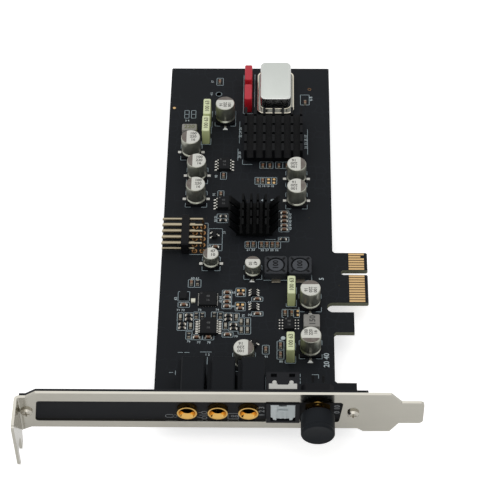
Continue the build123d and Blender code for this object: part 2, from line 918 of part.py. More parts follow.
# Legs of the volume control and of the light source, through the board
with BuildPart() as control_legs:
    with BuildSketch(Plane.XY.offset(leg_end)):
        with Locations(*pot_legs):
            Rectangle(jack_leg_width, jack_leg_thickness)
    extrude(amount=board_top - leg_end)
    with BuildSketch(Plane.XY.offset(leg_end)):
        with Locations(*emitter_legs):
            Rectangle(jack_leg_width, jack_leg_thickness)
    extrude(amount=emitter_z - emitter_size / 2 - leg_end)
save(control_legs, "control_legs")


def make_can(x, y, radius, height):
    # Drawn can with a turned-in top edge.
    with BuildPart() as can:
        with BuildSketch(Plane.XY.offset(can_seat)):
            with Locations((x, y)):
                RegularPolygon(radius, round_sides)
        extrude(amount=height)
        chamfer(can.faces().sort_by(Axis.Z)[-1].edges(), length=can_edge)
    return can


# Each electrolytic capacitor: x, y, turn, can radius, can height, base size
capacitors = [(x, y, turn, large_can_radius, large_can_height, large_base) for x, y, turn in large_cans]
capacitors += [(x, y, turn, small_can_radius, small_can_height, small_base) for x, y, turn in small_cans]
for index, (x, y, turn, radius, height, base) in enumerate(capacitors, start=1):
    save(make_can(x, y, radius, height), f"capacitor_can_{index}")

with BuildPart() as capacitor_bases:
    for x, y, turn, radius, height, base in capacitors:
        base_outline = [
            (base / 2, -base / 2),
            (base / 2, base / 2),
            (base_chamfer - base / 2, base / 2),
            (-base / 2, base / 2 - base_chamfer),
            (-base / 2, base_chamfer - base / 2),
            (base_chamfer - base / 2, -base / 2),
        ]
        with BuildSketch(Plane.XY.offset(board_top)):
            with Locations(Location((x, y, 0), (0, 0, turn))):
                Polygon(*base_outline, align=None)
        extrude(amount=base_thickness)
        with BuildSketch(Plane.XY.offset(board_top)):
            with Locations(Location((x, y, 0), (0, 0, turn))):
                Rectangle(base + 1, lead_width)
        extrude(amount=lead_thickness, mode=Mode.SUBTRACT)
save(capacitor_bases, "capacitor_bases")

# Capacitor leads: two flat strips in the groove under each base
with BuildPart() as capacitor_leads:
    with BuildSketch(Plane.XY.offset(board_top)):
        for x, y, turn, radius, height, base in capacitors:
            lead_end = base / 2 + lead_reach
            lead_start = radius / 4
            with Locations(Location((x, y, 0), (0, 0, turn))):
                for side in (-1, 1):
                    with Locations((side * (lead_end + lead_start) / 2, 0)):
                        Rectangle(lead_end - lead_start, lead_width)
    extrude(amount=lead_thickness)
save(capacitor_leads, "capacitor_leads")


def make_film(x, y):
    # Dipped box with cut edges, flat underneath.
    with BuildPart() as film:
        with BuildSketch(Plane.XY.offset(board_top)) as film_shape:
            with Locations((x, y)):
                Rectangle(film_width, film_length)
            chamfer(film_shape.vertices(), length=film_edge)
        extrude(amount=film_height)
        chamfer(film.faces().sort_by(Axis.Z)[-1].edges(), length=film_edge)
    return film


for index, (x, y) in enumerate(yellow_films, start=1):
    save(make_film(x, y), f"film_capacitor_{index}")
for index, (x, y) in enumerate(red_films, start=1):
    save(make_film(x, y), f"red_film_capacitor_{index}")

with BuildPart() as film_leads:
    with BuildSketch(Plane.XY.offset(leg_end)):
        with Locations(*film_lead_places):
            RegularPolygon(film_lead_radius, lead_sides)
    extrude(amount=board_top - leg_end)
save(film_leads, "film_leads")

# Metal-can oscillator: flange on four beads, drawn can on top, pins from the beads through the board
flange_low = board_top + oscillator_standoff
flange_top = flange_low + oscillator_flange
with BuildPart() as oscillator_base:
    with BuildSketch(Plane.XY.offset(flange_low)):
        with Locations((oscillator_x, oscillator_y)):
            RectangleRounded(oscillator_width, oscillator_length, oscillator_corner)
    extrude(amount=oscillator_flange)
    with BuildSketch(Plane.XY.offset(board_top)):
        with Locations((oscillator_x, oscillator_y)):
            with GridLocations(oscillator_pin_across, oscillator_pin_along, 2, 2):
                RegularPolygon(oscillator_bead, small_round_sides)
    extrude(amount=oscillator_standoff)
save(oscillator_base, "oscillator_base")

with BuildPart() as oscillator_can:
    with BuildSketch(Plane.XY.offset(flange_top)):
        with Locations((oscillator_x, oscillator_y)):
            can_corner = oscillator_corner - oscillator_can_edge
            RectangleRounded(oscillator_can_width, oscillator_can_length, can_corner)
    extrude(amount=oscillator_can_height)
    chamfer(oscillator_can.faces().sort_by(Axis.Z)[-1].edges(), length=oscillator_can_edge)
save(oscillator_can, "oscillator_can")

with BuildPart() as oscillator_pins:
    with BuildSketch(Plane.XY.offset(leg_end)):
        with Locations((oscillator_x, oscillator_y)):
            with GridLocations(oscillator_pin_across, oscillator_pin_along, 2, 2):
                RegularPolygon(oscillator_pin_radius, lead_sides)
    extrude(amount=board_top - leg_end)
save(oscillator_pins, "oscillator_pins")

# Large heat sink: seven upright fins on a plate, cut across into short blades
large_sink_places = Location((large_sink_x, large_sink_y, 0))
fin_length = (large_sink_length - (large_fin_rows - 1) * large_fin_cut) / large_fin_rows
fin_pitch = (large_sink_width - large_fin_thickness) / (large_fins - 1)
with BuildPart() as large_heat_sink:
    with BuildSketch(Plane.XY.offset(sink_seat)):
        with Locations(large_sink_places):
            Rectangle(large_sink_width, large_sink_length)
    extrude(amount=large_sink_base)
    with BuildSketch(Plane.XY.offset(sink_seat + large_sink_base)):
        with Locations(large_sink_places):
            with GridLocations(fin_pitch, fin_length + large_fin_cut, large_fins, large_fin_rows):
                Rectangle(large_fin_thickness, fin_length)
    extrude(amount=large_sink_height - large_sink_base)
save(large_heat_sink, "large_heat_sink")

# Small heat sink: rows of tapered pins, each column leaning further outward
small_sink_top = sink_seat + small_sink_base
pin_columns = len(small_pin_leans)
pin_pitch = (small_sink_width - small_pin_foot) / (pin_columns - 1)
pin_row_length = (small_sink_length - (small_pin_rows - 1) * small_pin_gap) / small_pin_rows
row_gaps = [pin_row_length + (pin_row_length + small_pin_gap) * n for n in range(small_pin_rows - 1)]
sink_near = small_sink_y - small_sink_length / 2
with BuildPart() as small_heat_sink:
    with BuildSketch(front_plane(sink_near)):
        for column, lean in enumerate(small_pin_leans):
            foot = small_sink_x + (column - (pin_columns - 1) / 2) * pin_pitch
            tip_x = foot + small_pin_height * sin(radians(lean))
            tip_z = small_sink_top + small_pin_height * cos(radians(lean))
            with BuildLine():
                Polyline(
                    (foot - small_pin_foot / 2, sink_seat),
                    (foot + small_pin_foot / 2, sink_seat),
                    (foot + small_pin_foot / 2, small_sink_top),
                    (tip_x + small_pin_tip / 2, tip_z),
                    (tip_x - small_pin_tip / 2, tip_z),
                    (foot - small_pin_foot / 2, small_sink_top),
                    close=True,
                )
            make_face()
    extrude(amount=-small_sink_length)
    with BuildSketch(Plane.XY.offset(small_sink_top)):
        with Locations(*[(small_sink_x, sink_near + gap + small_pin_gap / 2) for gap in row_gaps]):
            Rectangle(3 * small_sink_width, small_pin_gap)
    extrude(amount=small_pin_height, mode=Mode.SUBTRACT)
    with BuildSketch(Plane.XY.offset(sink_seat)):
        with Locations((small_sink_x, small_sink_y)):
            Rectangle(small_sink_width, small_sink_length)
    extrude(amount=small_sink_base)
save(small_heat_sink, "small_heat_sink")

# Chips under the heat sinks, each with a soft pad between chip and sink
sink_places = {
    "controller_chip": (large_sink_x, large_sink_y),
    "converter_chip": (small_sink_x, small_sink_y),
}
for name, place in sink_places.items():
    with BuildPart() as sink_chip:
        with BuildSketch(Plane.XY.offset(board_top)) as chip_shape:
            with Locations(place):
                Rectangle(sink_chip_size, sink_chip_size)
            chamfer(chip_shape.vertices().sort_by(lambda corner: corner.X - corner.Y)[0], length=0.6)
        extrude(amount=sink_chip_height)
    save(sink_chip, name)

with BuildPart() as thermal_pads:
    with BuildSketch(Plane.XY.offset(board_top + sink_chip_height)):
        with Locations(*sink_places.values()):
            Rectangle(sink_chip_size - 1, sink_chip_size - 1)
    extrude(amount=thermal_pad)
save(thermal_pads, "thermal_pads")

# Right-angle header: two rows of bent pins through a moulded block and down through the board
header_rows = [(n, board_top + header_row_rise + header_pitch * n) for n in range(2)]
header_body_left = board_left + header_body_from_edge
header_half = (header_pins_per_row - 1) / 2
header_places = [header_y + header_pitch * (n - header_half) for n in range(header_pins_per_row)]
with BuildPart() as header_body:
    with BuildSketch(Plane.XY.offset(board_top)):
        with Locations((header_body_left + header_body_width / 2, header_y)):
            Rectangle(header_body_width, header_pitch * header_pins_per_row)
    extrude(amount=header_body_height)
    block_ends = header_body.edges().filter_by(Axis.X)
    chamfer(block_ends, length=0.4)
    with BuildSketch(Plane.YZ.offset(header_body_left)):
        with Locations(*[(y, z) for row, z in header_rows for y in header_places]):
            Rectangle(header_pin_size, header_pin_size)
    extrude(amount=header_body_width, mode=Mode.SUBTRACT)
save(header_body, "header_body")

with BuildPart() as header_pins:
    for row, z in header_rows:
        column = header_x + header_pitch * row
        with BuildSketch(Plane.YZ.offset(board_left)):
            with Locations(*[(y, z) for y in header_places]):
                Rectangle(header_pin_size, header_pin_size)
        extrude(amount=column + header_pin_size / 2 - board_left)
        with BuildSketch(Plane.XY.offset(leg_end)):
            with Locations(*[(column, y) for y in header_places]):
                Rectangle(header_pin_size, header_pin_size)
        extrude(amount=z - leg_end)
        bends = [
            edge
            for edge in header_pins.edges().filter_by(Axis.Y)
            if abs(edge.center().X - column - header_pin_size / 2) < 0.01
            and abs(edge.center().Z - z - header_pin_size / 2) < 0.01
        ]
        chamfer(bends, length=header_pin_size * 0.6)
save(header_pins, "header_pins")

# Shielded power inductors: square ferrite with a round core set in the top and two end plates
ring_gap = 0.3
for index, x in enumerate(power_inductor_places, start=1):
    with BuildPart() as power_inductor:
        with BuildSketch(Plane.XY.offset(board_top)) as coil_shape:
            with Locations((x, power_inductor_y)):
                Rectangle(power_inductor_size, power_inductor_size)
            chamfer(coil_shape.vertices(), length=inductor_corner)
        extrude(amount=power_inductor_height)
        with BuildSketch(Plane.XY.offset(board_top + power_inductor_height)):
            with Locations((x, power_inductor_y)):
                RegularPolygon(inductor_disc_radius + ring_gap, round_sides)
                RegularPolygon(inductor_disc_radius, round_sides, mode=Mode.SUBTRACT)
        extrude(amount=-2 * ring_gap, mode=Mode.SUBTRACT)
        for side in (-1, 1):
            end = power_inductor_y + side * (power_inductor_size / 2 + inductor_plate / 2)
            with BuildSketch(Plane.XY.offset(board_top)):
                with Locations((x, end)):
                    Rectangle(inductor_plate_width, inductor_plate)
            extrude(amount=power_inductor_height / 2)
    save(power_inductor, f"power_inductor_{index}")

with BuildPart() as moulded_inductors:
    for x, y, width, length in moulded_inductor_places:
        with BuildSketch(Plane.XY.offset(board_top)):
            with Locations((x, y)):
                Rectangle(width, length)
        extrude(amount=moulded_inductor_height)
    moulded_tops = moulded_inductors.faces().group_by(Axis.Z)[-1].edges()
    chamfer(moulded_tops, length=0.3)
save(moulded_inductors, "moulded_inductors")

# Small chips: bodies with a turned-down edge, and flat leads that reach out on the board
with BuildPart() as chip_bodies:
    for chip in small_chips:
        with BuildSketch(Plane.XY.offset(board_top)):
            with Locations((chip["x"], chip["y"])):
                Rectangle(chip["width"], chip["length"])
        extrude(amount=chip["height"])
    chip_tops = [face for face in chip_bodies.faces().filter_by(Axis.Z) if face.center().Z > board_top + 0.2]
    chamfer([edge for face in chip_tops for edge in face.edges()], length=chip_top_edge)
save(chip_bodies, "chip_bodies")

with BuildPart() as chip_leads:
    with BuildSketch(Plane.XY.offset(board_top)):
        for chip in small_chips:
            middle = (chip["width"] + chip["reach"]) / 2
            for side, pins in ((-1, chip["left"]), (1, chip["right"])):
                for row in pins:
                    with Locations((chip["x"] + side * middle, chip["y"] + row * chip["pitch"])):
                        Rectangle(chip["reach"], chip["pin"])
    extrude(amount=chip_pin_thickness)
save(chip_leads, "chip_leads")


def make_passives(across, along, height):
    # Plain blocks along X or along Y; their end caps are a thin plating.
    with BuildPart() as passives:
        with BuildSketch(Plane.XY.offset(board_top)):
            with Locations(*across):
                Rectangle(passive_length, passive_width)
            with Locations(*along):
                Rectangle(passive_width, passive_length)
        extrude(amount=height)
    return passives


save(make_passives(capacitors_across, capacitors_along, passive_height), "ceramic_capacitors")
save(make_passives(resistors_across, resistors_along, resistor_height), "chip_resistors")

with BuildPart() as status_light:
    with BuildSketch(Plane.XY.offset(board_top)):
        with Locations(*light_place):
            Rectangle(light_size, light_size)
    extrude(amount=light_height)
save(status_light, "status_light")
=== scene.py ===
from math import atan2, cos, degrees, hypot, pi, radians, sin, tau

import bmesh
import bpy
from mathutils import Matrix, Vector


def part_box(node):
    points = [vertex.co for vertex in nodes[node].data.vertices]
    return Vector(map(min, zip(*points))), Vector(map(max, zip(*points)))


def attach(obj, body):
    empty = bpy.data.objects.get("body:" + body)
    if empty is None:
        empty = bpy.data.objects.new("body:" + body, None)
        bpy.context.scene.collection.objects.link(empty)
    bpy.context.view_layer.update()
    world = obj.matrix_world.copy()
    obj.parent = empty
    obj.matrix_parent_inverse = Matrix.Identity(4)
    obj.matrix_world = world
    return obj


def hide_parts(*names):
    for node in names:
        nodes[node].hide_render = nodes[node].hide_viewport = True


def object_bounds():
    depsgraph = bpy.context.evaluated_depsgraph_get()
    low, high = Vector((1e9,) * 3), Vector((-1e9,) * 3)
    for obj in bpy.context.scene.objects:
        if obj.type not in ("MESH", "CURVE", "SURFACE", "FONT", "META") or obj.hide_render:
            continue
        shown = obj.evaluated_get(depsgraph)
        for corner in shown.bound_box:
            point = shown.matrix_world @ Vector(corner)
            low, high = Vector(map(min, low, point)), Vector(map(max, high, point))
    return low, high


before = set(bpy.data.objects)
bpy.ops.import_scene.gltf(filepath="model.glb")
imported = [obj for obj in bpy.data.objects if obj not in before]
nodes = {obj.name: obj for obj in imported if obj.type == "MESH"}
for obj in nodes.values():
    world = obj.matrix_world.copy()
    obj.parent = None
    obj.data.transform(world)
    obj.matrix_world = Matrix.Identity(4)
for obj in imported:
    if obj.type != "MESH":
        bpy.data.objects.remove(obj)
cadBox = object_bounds()
mm = 0.001
boardTop = 0.8  # places and heights are in millimetres, in the frame of the card
inkThick = 0.02
inkRise = boardTop + 0.012  # middle of a printed line
faceRise = 0.005  # of the figures above their face
heavy = 0.03  # boldness of the figures on parts
figureScale = 1.4  # size of the font over the height of its figures


# shader helpers

def colour(red, green, blue):
    # a colour as a paint chart gives it, 0 to 255, as the linear values of the shader
    channels = [value / 255 for value in (red, green, blue)]
    return tuple(c / 12.92 if c <= 0.04045 else ((c + 0.055) / 1.055) ** 2.4 for c in channels) + (1.0,)


def sign(operation):
    return lambda first, second: first.sum(operation, first, second)


class Wire:
    # an output socket with ordinary arithmetic: each sign adds one Math node
    __add__ = sign("ADD")
    __sub__ = sign("SUBTRACT")
    __mul__ = sign("MULTIPLY")
    __truediv__ = sign("DIVIDE")
    __gt__ = sign("GREATER_THAN")
    __lt__ = sign("LESS_THAN")

    def __init__(self, tree, socket):
        self.tree = tree
        self.socket = socket

    def sum(self, operation, first, second=None, clamp=False):
        node = self.tree.nodes.new("ShaderNodeMath")
        node.operation = operation
        node.use_clamp = clamp
        for slot, value in enumerate((first, second)):
            if isinstance(value, Wire):
                self.tree.links.new(value.socket, node.inputs[slot])
            elif value is not None:
                node.inputs[slot].default_value = value
        return Wire(self.tree, node.outputs[0])

    def __rsub__(self, other):
        return self.sum("SUBTRACT", other, self)

    def size(self):
        return self.sum("ABSOLUTE", self)

    def clamped(self):
        return self.sum("ADD", self, 0.0, clamp=True)


class Finish:
    # one material with a principled shader, and one method that adds any other node
    labels = {"baseColor": "Base Color", "coatWeight": "Coat Weight", "emission": "Emission Color"}

    def __init__(self, name, gloss=0.5):
        self.material = bpy.data.materials.new(name)
        self.material.use_nodes = True
        self.tree = self.material.node_tree
        self.shader = self.tree.nodes["Principled BSDF"]
        self.shader.inputs["Specular IOR Level"].default_value = gloss
        self.spot = self.add("TexCoord", output="Object")

    def add(self, kind, settings=None, sockets=None, output=0):
        node = self.tree.nodes.new("ShaderNode" + kind)
        for key, value in (settings or {}).items():
            setattr(node, key, value)
        for key, value in (sockets or {}).items():
            self.plug(node.inputs[key], value)
        return Wire(self.tree, node.outputs[output])

    def plug(self, socket, value):
        if isinstance(value, Wire):
            self.tree.links.new(value.socket, socket)
        else:
            socket.default_value = value

    def feed(self, **sockets):
        for key, value in sockets.items():
            self.plug(self.shader.inputs[self.labels.get(key, key.capitalize())], value)

    def mix(self, factor, first, second):
        sockets = {0: factor, 6: first, 7: second}
        return self.add("Mix", {"data_type": "RGBA"}, sockets, output=2)

    def noise(self, size, detail=3.0, stretch=None, seed=0.0):
        # size is the width of one blotch in millimetres
        spot = self.add("Mapping", None, {"Vector": self.spot, "Location": (seed, seed, seed)})
        if stretch:
            spot = self.add("Mapping", None, {"Vector": spot, "Scale": stretch})
        sockets = {"Vector": spot, "Scale": 1 / (size * mm), "Detail": detail}
        return self.add("TexNoise", None, sockets)

    def along(self, axis):
        # the place on the card along one axis, in millimetres
        return self.add("SeparateXYZ", None, {0: self.spot}, output=axis) * 1000.0

    def facing(self, axis):
        normal = self.add("NewGeometry", output="Normal")
        return self.add("SeparateXYZ", None, {0: normal}, output=axis)

    def bump(self, height, strength, depth):
        sockets = {"Height": height, "Strength": strength, "Distance": depth * mm}
        return self.add("Bump", None, sockets, output="Normal")


plainRecipe = {"tone": (0.7, 0.3), "rough": (0.12, 0.1), "depth": 0.02}
brushedRecipe = {"widths": (11.0, 0.25), "tone": (0.65, 0.35), "rough": (0.08, 0.1), "dark": 0.82,
                 "relief": 0.1, "depth": 0.02}


def shaded(shade, share):
    return tuple(min(1.0, c * share) for c in shade[:3]) + (1.0,)


def blend(drift, fine, shares, middle=None):
    # two noises by their shares, about a middle value where one is given
    both = drift * shares[0] + fine * shares[1]
    return (both if middle is None else both + (middle - sum(shares) / 2)).clamped()


def paint(name, shade, roughness, metallic=0.0, blotch=4.0, spread=0.12, grain=0.15, relief=0.15,
          coat=0.0, gloss=0.5, stretch=None):
    # the shared recipe: a colour that drifts a little, a roughness that follows it, a fine grain
    recipe, shade = plainRecipe, colour(*shade)
    finish = Finish(name, gloss)
    drift = finish.noise(blotch, 4.0, stretch)
    fine = finish.noise(grain, 2.0, stretch, seed=0.37)
    darker, lighter = shaded(shade, 1 - spread), shaded(shade, 1 + spread)
    finish.feed(
        baseColor=finish.mix(blend(drift, fine, recipe["tone"]), darker, lighter),
        roughness=blend(drift, fine, recipe["rough"], roughness),
        metallic=metallic,
        coatWeight=coat,
        normal=finish.bump(fine, relief, recipe["depth"]),
    )
    return finish


def brush(name, shade, roughness, stretch):
    recipe, shade = brushedRecipe, colour(*shade)
    finish = Finish(name)
    clouds = finish.noise(recipe["widths"][0], 4.0, seed=0.5)
    lines = finish.noise(recipe["widths"][1], 3.0, stretch, seed=0.1)
    finish.feed(
        baseColor=finish.mix(blend(clouds, lines, recipe["tone"]), shaded(shade, recipe["dark"]), shade),
        roughness=blend(clouds, lines, recipe["rough"], roughness),
        metallic=1.0,
        normal=finish.bump(lines, recipe["relief"], recipe["depth"]),
    )
    return finish


def dress(finish, *names):
    for name in names:
        mesh = nodes[name].data
        mesh.materials.clear()
        mesh.materials.append(finish.material)


# mesh helpers

def corners(name):
    # the lowest and the highest corner of a card part, in millimetres
    return [Vector(point) * 1000 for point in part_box(name)]


def heading(turn):
    # the unit vector along the board at an angle in degrees
    angle = radians(turn)
    return Vector((cos(angle), sin(angle)))


def at(x, y, z):
    return Matrix.Translation(Vector((x, y, z)) * mm)


def addBlock(bm, centre, size, turn=0.0, bevel=0.0):
    # a box by its centre and size, turned about Z
    scale = Matrix.Diagonal((size[0] * mm, size[1] * mm, size[2] * mm, 1.0))
    spot = at(*centre) @ Matrix.Rotation(radians(turn), 4, "Z") @ scale
    made = bmesh.ops.create_cube(bm, size=1.0, matrix=spot)
    if bevel:
        edges = list(dict.fromkeys(edge for vert in made["verts"] for edge in vert.link_edges))
        bmesh.ops.bevel(bm, geom=edges, offset=bevel * mm, segments=1, profile=0.5, affect="EDGES")


def addCone(bm, centre, radius, height, sides=16, tip=None):
    # an upright drum or cone, by the middle of its height
    bmesh.ops.create_cone(bm, cap_ends=True, segments=sides, radius1=radius * mm,
                          radius2=(radius if tip is None else tip) * mm, depth=height * mm,
                          matrix=at(*centre))


def addSpun(bm, profile, centre, axis, steps=48):
    # a profile of (radius, height) pairs turned about an axis through centre
    side = Vector((1, 0, 0))
    middle = Vector(centre) * mm
    verts = [bm.verts.new(middle + (side * r + Vector(axis) * h) * mm) for r, h in profile]
    edges = [bm.edges.new(pair) for pair in zip(verts, verts[1:])]
    bmesh.ops.spin(bm, geom=verts + edges, cent=middle, axis=Vector(axis), angle=tau, steps=steps,
                   use_merge=True)
    bmesh.ops.remove_doubles(bm, verts=bm.verts, dist=1e-6)


quarters = ((1, 1), (-1, 1), (-1, -1), (1, -1))


def roundedBox(x, y, width, length, radius, steps=4):
    outline = []
    for number, (sideX, sideY) in enumerate(quarters):
        for step in range(steps + 1):
            angle = radians(90 * number + 90 * step / steps)
            outline.append((x + sideX * (width / 2 - radius) + radius * cos(angle),
                            y + sideY * (length / 2 - radius) + radius * sin(angle)))
    return outline


def circle(x, y, radius, count=20):
    return [(x + radius * cos(tau * n / count), y + radius * sin(tau * n / count))
            for n in range(count)]


upright = Matrix.Identity(4)
faceFront = Matrix.Rotation(radians(90), 4, "X")  # drawn as seen from the bracket side


def addLoft(bm, rings, spot=upright, closed=False):
    # rings of (outline, height), bridged in turn; the end rings are capped, or joined when closed
    loops = []
    for outline, height in rings:
        verts = [bm.verts.new(spot @ (Vector((x, y, height)) * mm)) for x, y in outline]
        loops.append([bm.edges.new(pair) for pair in zip(verts, verts[1:] + verts[:1])])
    for low, high in zip(loops, loops[1:] + (loops[:1] if closed else [])):
        bmesh.ops.bridge_loops(bm, edges=low + high)
    if not closed:
        for loop in (loops[0], loops[-1]):
            bmesh.ops.edgeloop_fill(bm, edges=loop)


def roundedTop(x, y, width, length, low, high, look, steps=3):
    # rings of an upright block with round corners, whose top edge is rolled over
    radius, edge = look["corner"], look["edge"]
    rings = [(roundedBox(x, y, width, length, radius), low)]
    for step in range(steps + 1):
        angle = radians(90 * step / steps)
        inset = edge * (1 - cos(angle))
        rings.append((roundedBox(x, y, width - 2 * inset, length - 2 * inset, max(radius - inset, 0.05)),
                      high - edge + edge * sin(angle)))
    return rings


def roundedEdge(radius, top, edge, steps):
    # profile of a side that rolls over to the top
    angles = [radians(90 * step / steps) for step in range(steps + 1)]
    return [(radius - edge + edge * cos(a), top - edge + edge * sin(a)) for a in angles]


def addRing(bm, centre, radius, line, height=0.03, spot=upright, count=20):
    outer = circle(0, 0, radius + line / 2, count)
    inner = circle(0, 0, radius - line / 2, count)
    rings = [(outer, 0), (outer, height), (inner, height), (inner, 0)]
    addLoft(bm, rings, at(*centre) @ spot, closed=True)


def addStrip(bm, x0, y0, x1, y1, line=0.16):
    # a straight printed line between two places on the board
    length = hypot(x1 - x0, y1 - y0)
    turn = degrees(atan2(y1 - y0, x1 - x0))
    addBlock(bm, ((x0 + x1) / 2, (y0 + y1) / 2, inkRise), (length + line, line, inkThick), turn)


def addGrid(bm, x, y, width, length, columns=1, rows=1):
    # a printed box, parted into cells that share their borders
    left, near = x - width / 2, y - length / 2
    for n in range(columns + 1):
        spot = left + width * n / columns
        addStrip(bm, spot, near, spot, near + length)
    for n in range(rows + 1):
        spot = near + length * n / rows
        addStrip(bm, left, spot, left + width, spot)


def addCorners(bm, x, y, width, reach):
    # the corners of a printed square, open in the middle of the sides
    for sideX, sideY in quarters:
        farX, farY = x + sideX * width / 2, y + sideY * width / 2
        addStrip(bm, farX, farY, farX - sideX * reach, farY)
        addStrip(bm, farX, farY, farX, farY - sideY * reach)


numberMeshes = {}


def addNumber(bm, text, centre, height, turn=0.0, spot=upright, bold=0.015):
    # plain figures, flat on their face, centred on their place
    if (text, bold) not in numberMeshes:
        curve = bpy.data.curves.new("figures", "FONT")
        curve.body = text
        curve.align_x = "CENTER"
        curve.align_y = "CENTER"
        curve.resolution_u = 2
        curve.offset = bold
        curve.extrude = 0.004
        holder = bpy.data.objects.new("figures", curve)
        numberMeshes[text, bold] = bpy.data.meshes.new_from_object(holder)
        bpy.data.objects.remove(holder)
    mesh = numberMeshes[text, bold].copy()
    lean = at(*centre) @ spot @ Matrix.Rotation(radians(turn), 4, "Z")
    mesh.transform(lean @ Matrix.Scale(height * figureScale * mm, 4))
    bm.from_mesh(mesh)
    bpy.data.meshes.remove(mesh)


def addObject(name, data):
    thing = bpy.data.objects.new(name, data)
    bpy.context.scene.collection.objects.link(thing)
    return thing


def addMesh(bm, name, finish):
    mesh = bpy.data.meshes.new(name)
    bm.to_mesh(mesh)
    bm.free()
    mesh.materials.append(finish.material)
    return addObject(name, mesh)


def putPiece(bm, name, finish, body="card", smooth=False, replaces=()):
    bmesh.ops.recalc_face_normals(bm, faces=bm.faces)
    piece = addMesh(bm, name, finish)
    if smooth:
        piece.data.shade_smooth()
        piece.data.set_sharp_from_angle(angle=radians(40))
    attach(piece, body)
    if replaces:
        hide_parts(*replaces)


# finishes of the card parts

boardLook = {
    "mask": colour(28, 30, 33), "track": colour(35, 38, 42), "edge": colour(112, 114, 98),
    "via": colour(70, 62, 44), "trackCell": 3.1, "viaCell": 4.3,
    "patch": 14.0,  # width of the areas with and without tracks
}


def boardFinish():
    look = boardLook
    finish = Finish("solderMask", gloss=0.06)
    sockets = {"Vector": finish.spot, "Scale": 1 / (look["trackCell"] * mm), "Randomness": 0.55}
    cells = finish.add("TexVoronoi", {"feature": "DISTANCE_TO_EDGE"}, sockets, output="Distance")
    tracks = (cells < 0.06) * (finish.noise(look["patch"], 2.0, seed=0.2) > 0.5)
    sockets = {"Vector": finish.spot, "Scale": 1 / (look["viaCell"] * mm)}
    dots = finish.add("TexVoronoi", {"feature": "F1"}, sockets, output="Distance")
    vias = (dots < 0.05) * (finish.noise(look["patch"], 2.0, seed=0.7) > 0.55)
    drift = finish.noise(9.0, 5.0, seed=0.6)
    fine = finish.noise(0.35, 2.0, seed=0.9)
    rim = finish.facing("Z").size() < 0.5
    shade = finish.mix((drift * 0.6 + tracks * 0.5).clamped(), look["mask"], look["track"])
    shade = finish.mix(vias * 0.5, shade, look["via"])
    finish.feed(
        baseColor=finish.mix(rim, shade, look["edge"]),
        roughness=(drift * 0.1 + fine * 0.06 + rim * 0.3 + 0.42).clamped(),
        normal=finish.bump(tracks * 0.6 + vias * 0.4 + fine * 0.25, 0.2, 0.02),
    )
    return finish


def jackNodes(piece):
    return [f"jack_{number}_{piece}" for number in (1, 2, 3)]


silkWhite = paint("silkWhite", (158, 174, 180), 0.6, blotch=0.7, spread=0.3)
numberWhite = paint("numberWhite", (182, 194, 198), 0.6, blotch=0.7, spread=0.25)
tinBright = paint("solderTin", (176, 174, 168), 0.3, metallic=1.0, blotch=0.8, spread=0.25)
tinDull = paint("tinDull", (128, 122, 110), 0.45, metallic=1.0, blotch=0.5, spread=0.3)
goldPad = paint("goldPad", (184, 154, 110), 0.34, metallic=1.0, blotch=1.0, spread=0.12)
dress(boardFinish(), "circuit_board")
dress(goldPad, "edge_contacts")
dress(brush("bracketSteel", (192, 189, 179), 0.14, (0.05, 1.0, 1.0)), "bracket")
# the plain ones: name, colour, roughness, what differs from the recipe, and the nodes
nodeLooks = [
    ("panelBlack", (33, 34, 37), 0.5, {"blotch": 7.0, "grain": 0.2, "gloss": 0.07}, ["front_panel"]),
    ("screwSteel", (186, 182, 172), 0.2, {"metallic": 1.0, "blotch": 1.2}, ["bracket_screws"]),
    ("jackBlack", (28, 30, 33), 0.45, {"blotch": 5.0, "grain": 0.25, "gloss": 0.05}, jackNodes("housing")),
    ("barrelGold", (214, 172, 98), 0.12, {"metallic": 1.0, "blotch": 1.6, "spread": 0.08},
     jackNodes("barrel")),
    ("springMetal", (205, 170, 100), 0.35, {"metallic": 1.0}, ["jack_contacts"]),
    ("portBlack", (34, 35, 38), 0.45, {"blotch": 3.0, "grain": 0.2, "gloss": 0.08}, ["optical_housing"]),
    ("emitterDark", (52, 20, 24), 0.2, {"coat": 0.5}, ["optical_emitter"]),
    ("insertPale", (206, 206, 200), 0.5, {"blotch": 2.0, "spread": 0.06}, ["optical_insert"]),
    ("controlBlack", (26, 27, 30), 0.5, {"gloss": 0.07}, ["volume_body"]),
    ("turnedBrass", (184, 148, 78), 0.15, {"metallic": 1.0}, ["volume_bush", "volume_nut"]),
    ("shaftMetal", (190, 190, 186), 0.3, {"metallic": 1.0}, ["volume_shaft"]),
    ("legTin", (180, 177, 168), 0.34, {"metallic": 1.0},
     ["control_legs", "capacitor_leads", "film_leads", "oscillator_pins"]),
    ("pinTin", (154, 145, 124), 0.3, {"metallic": 1.0, "stretch": (0.2, 1.0, 1.0)}, ["header_pins"]),
    ("baseBlack", (18, 18, 21), 0.5, {"blotch": 1.5, "gloss": 0.08}, ["capacitor_bases"]),
    ("headerBlack", (22, 22, 24), 0.45, {"blotch": 2.0, "gloss": 0.08}, ["header_body"]),
    ("padGrey", (150, 152, 158), 0.8, {}, ["thermal_pads"]),
    ("chipBlack", (27, 28, 30), 0.55, {"blotch": 1.0, "grain": 0.08, "relief": 0.3, "gloss": 0.08},
     ["chip_bodies", "controller_chip", "converter_chip"]),
    ("lightPale", (226, 224, 204), 0.25, {"coat": 0.4, "blotch": 0.6}, ["status_light"]),
    ("sinkBlack", (13, 14, 16), 0.4, {"blotch": 3.0, "grain": 0.12, "gloss": 0.1}, ["large_heat_sink"]),
    ("pinSinkBlack", (10, 11, 12), 0.4, {"blotch": 2.0, "grain": 0.12, "gloss": 0.06}, ["small_heat_sink"]),
]
for name, shade, roughness, options, wearers in nodeLooks:
    dress(paint(name, shade, roughness, **options), *wearers)
print("finishes done")

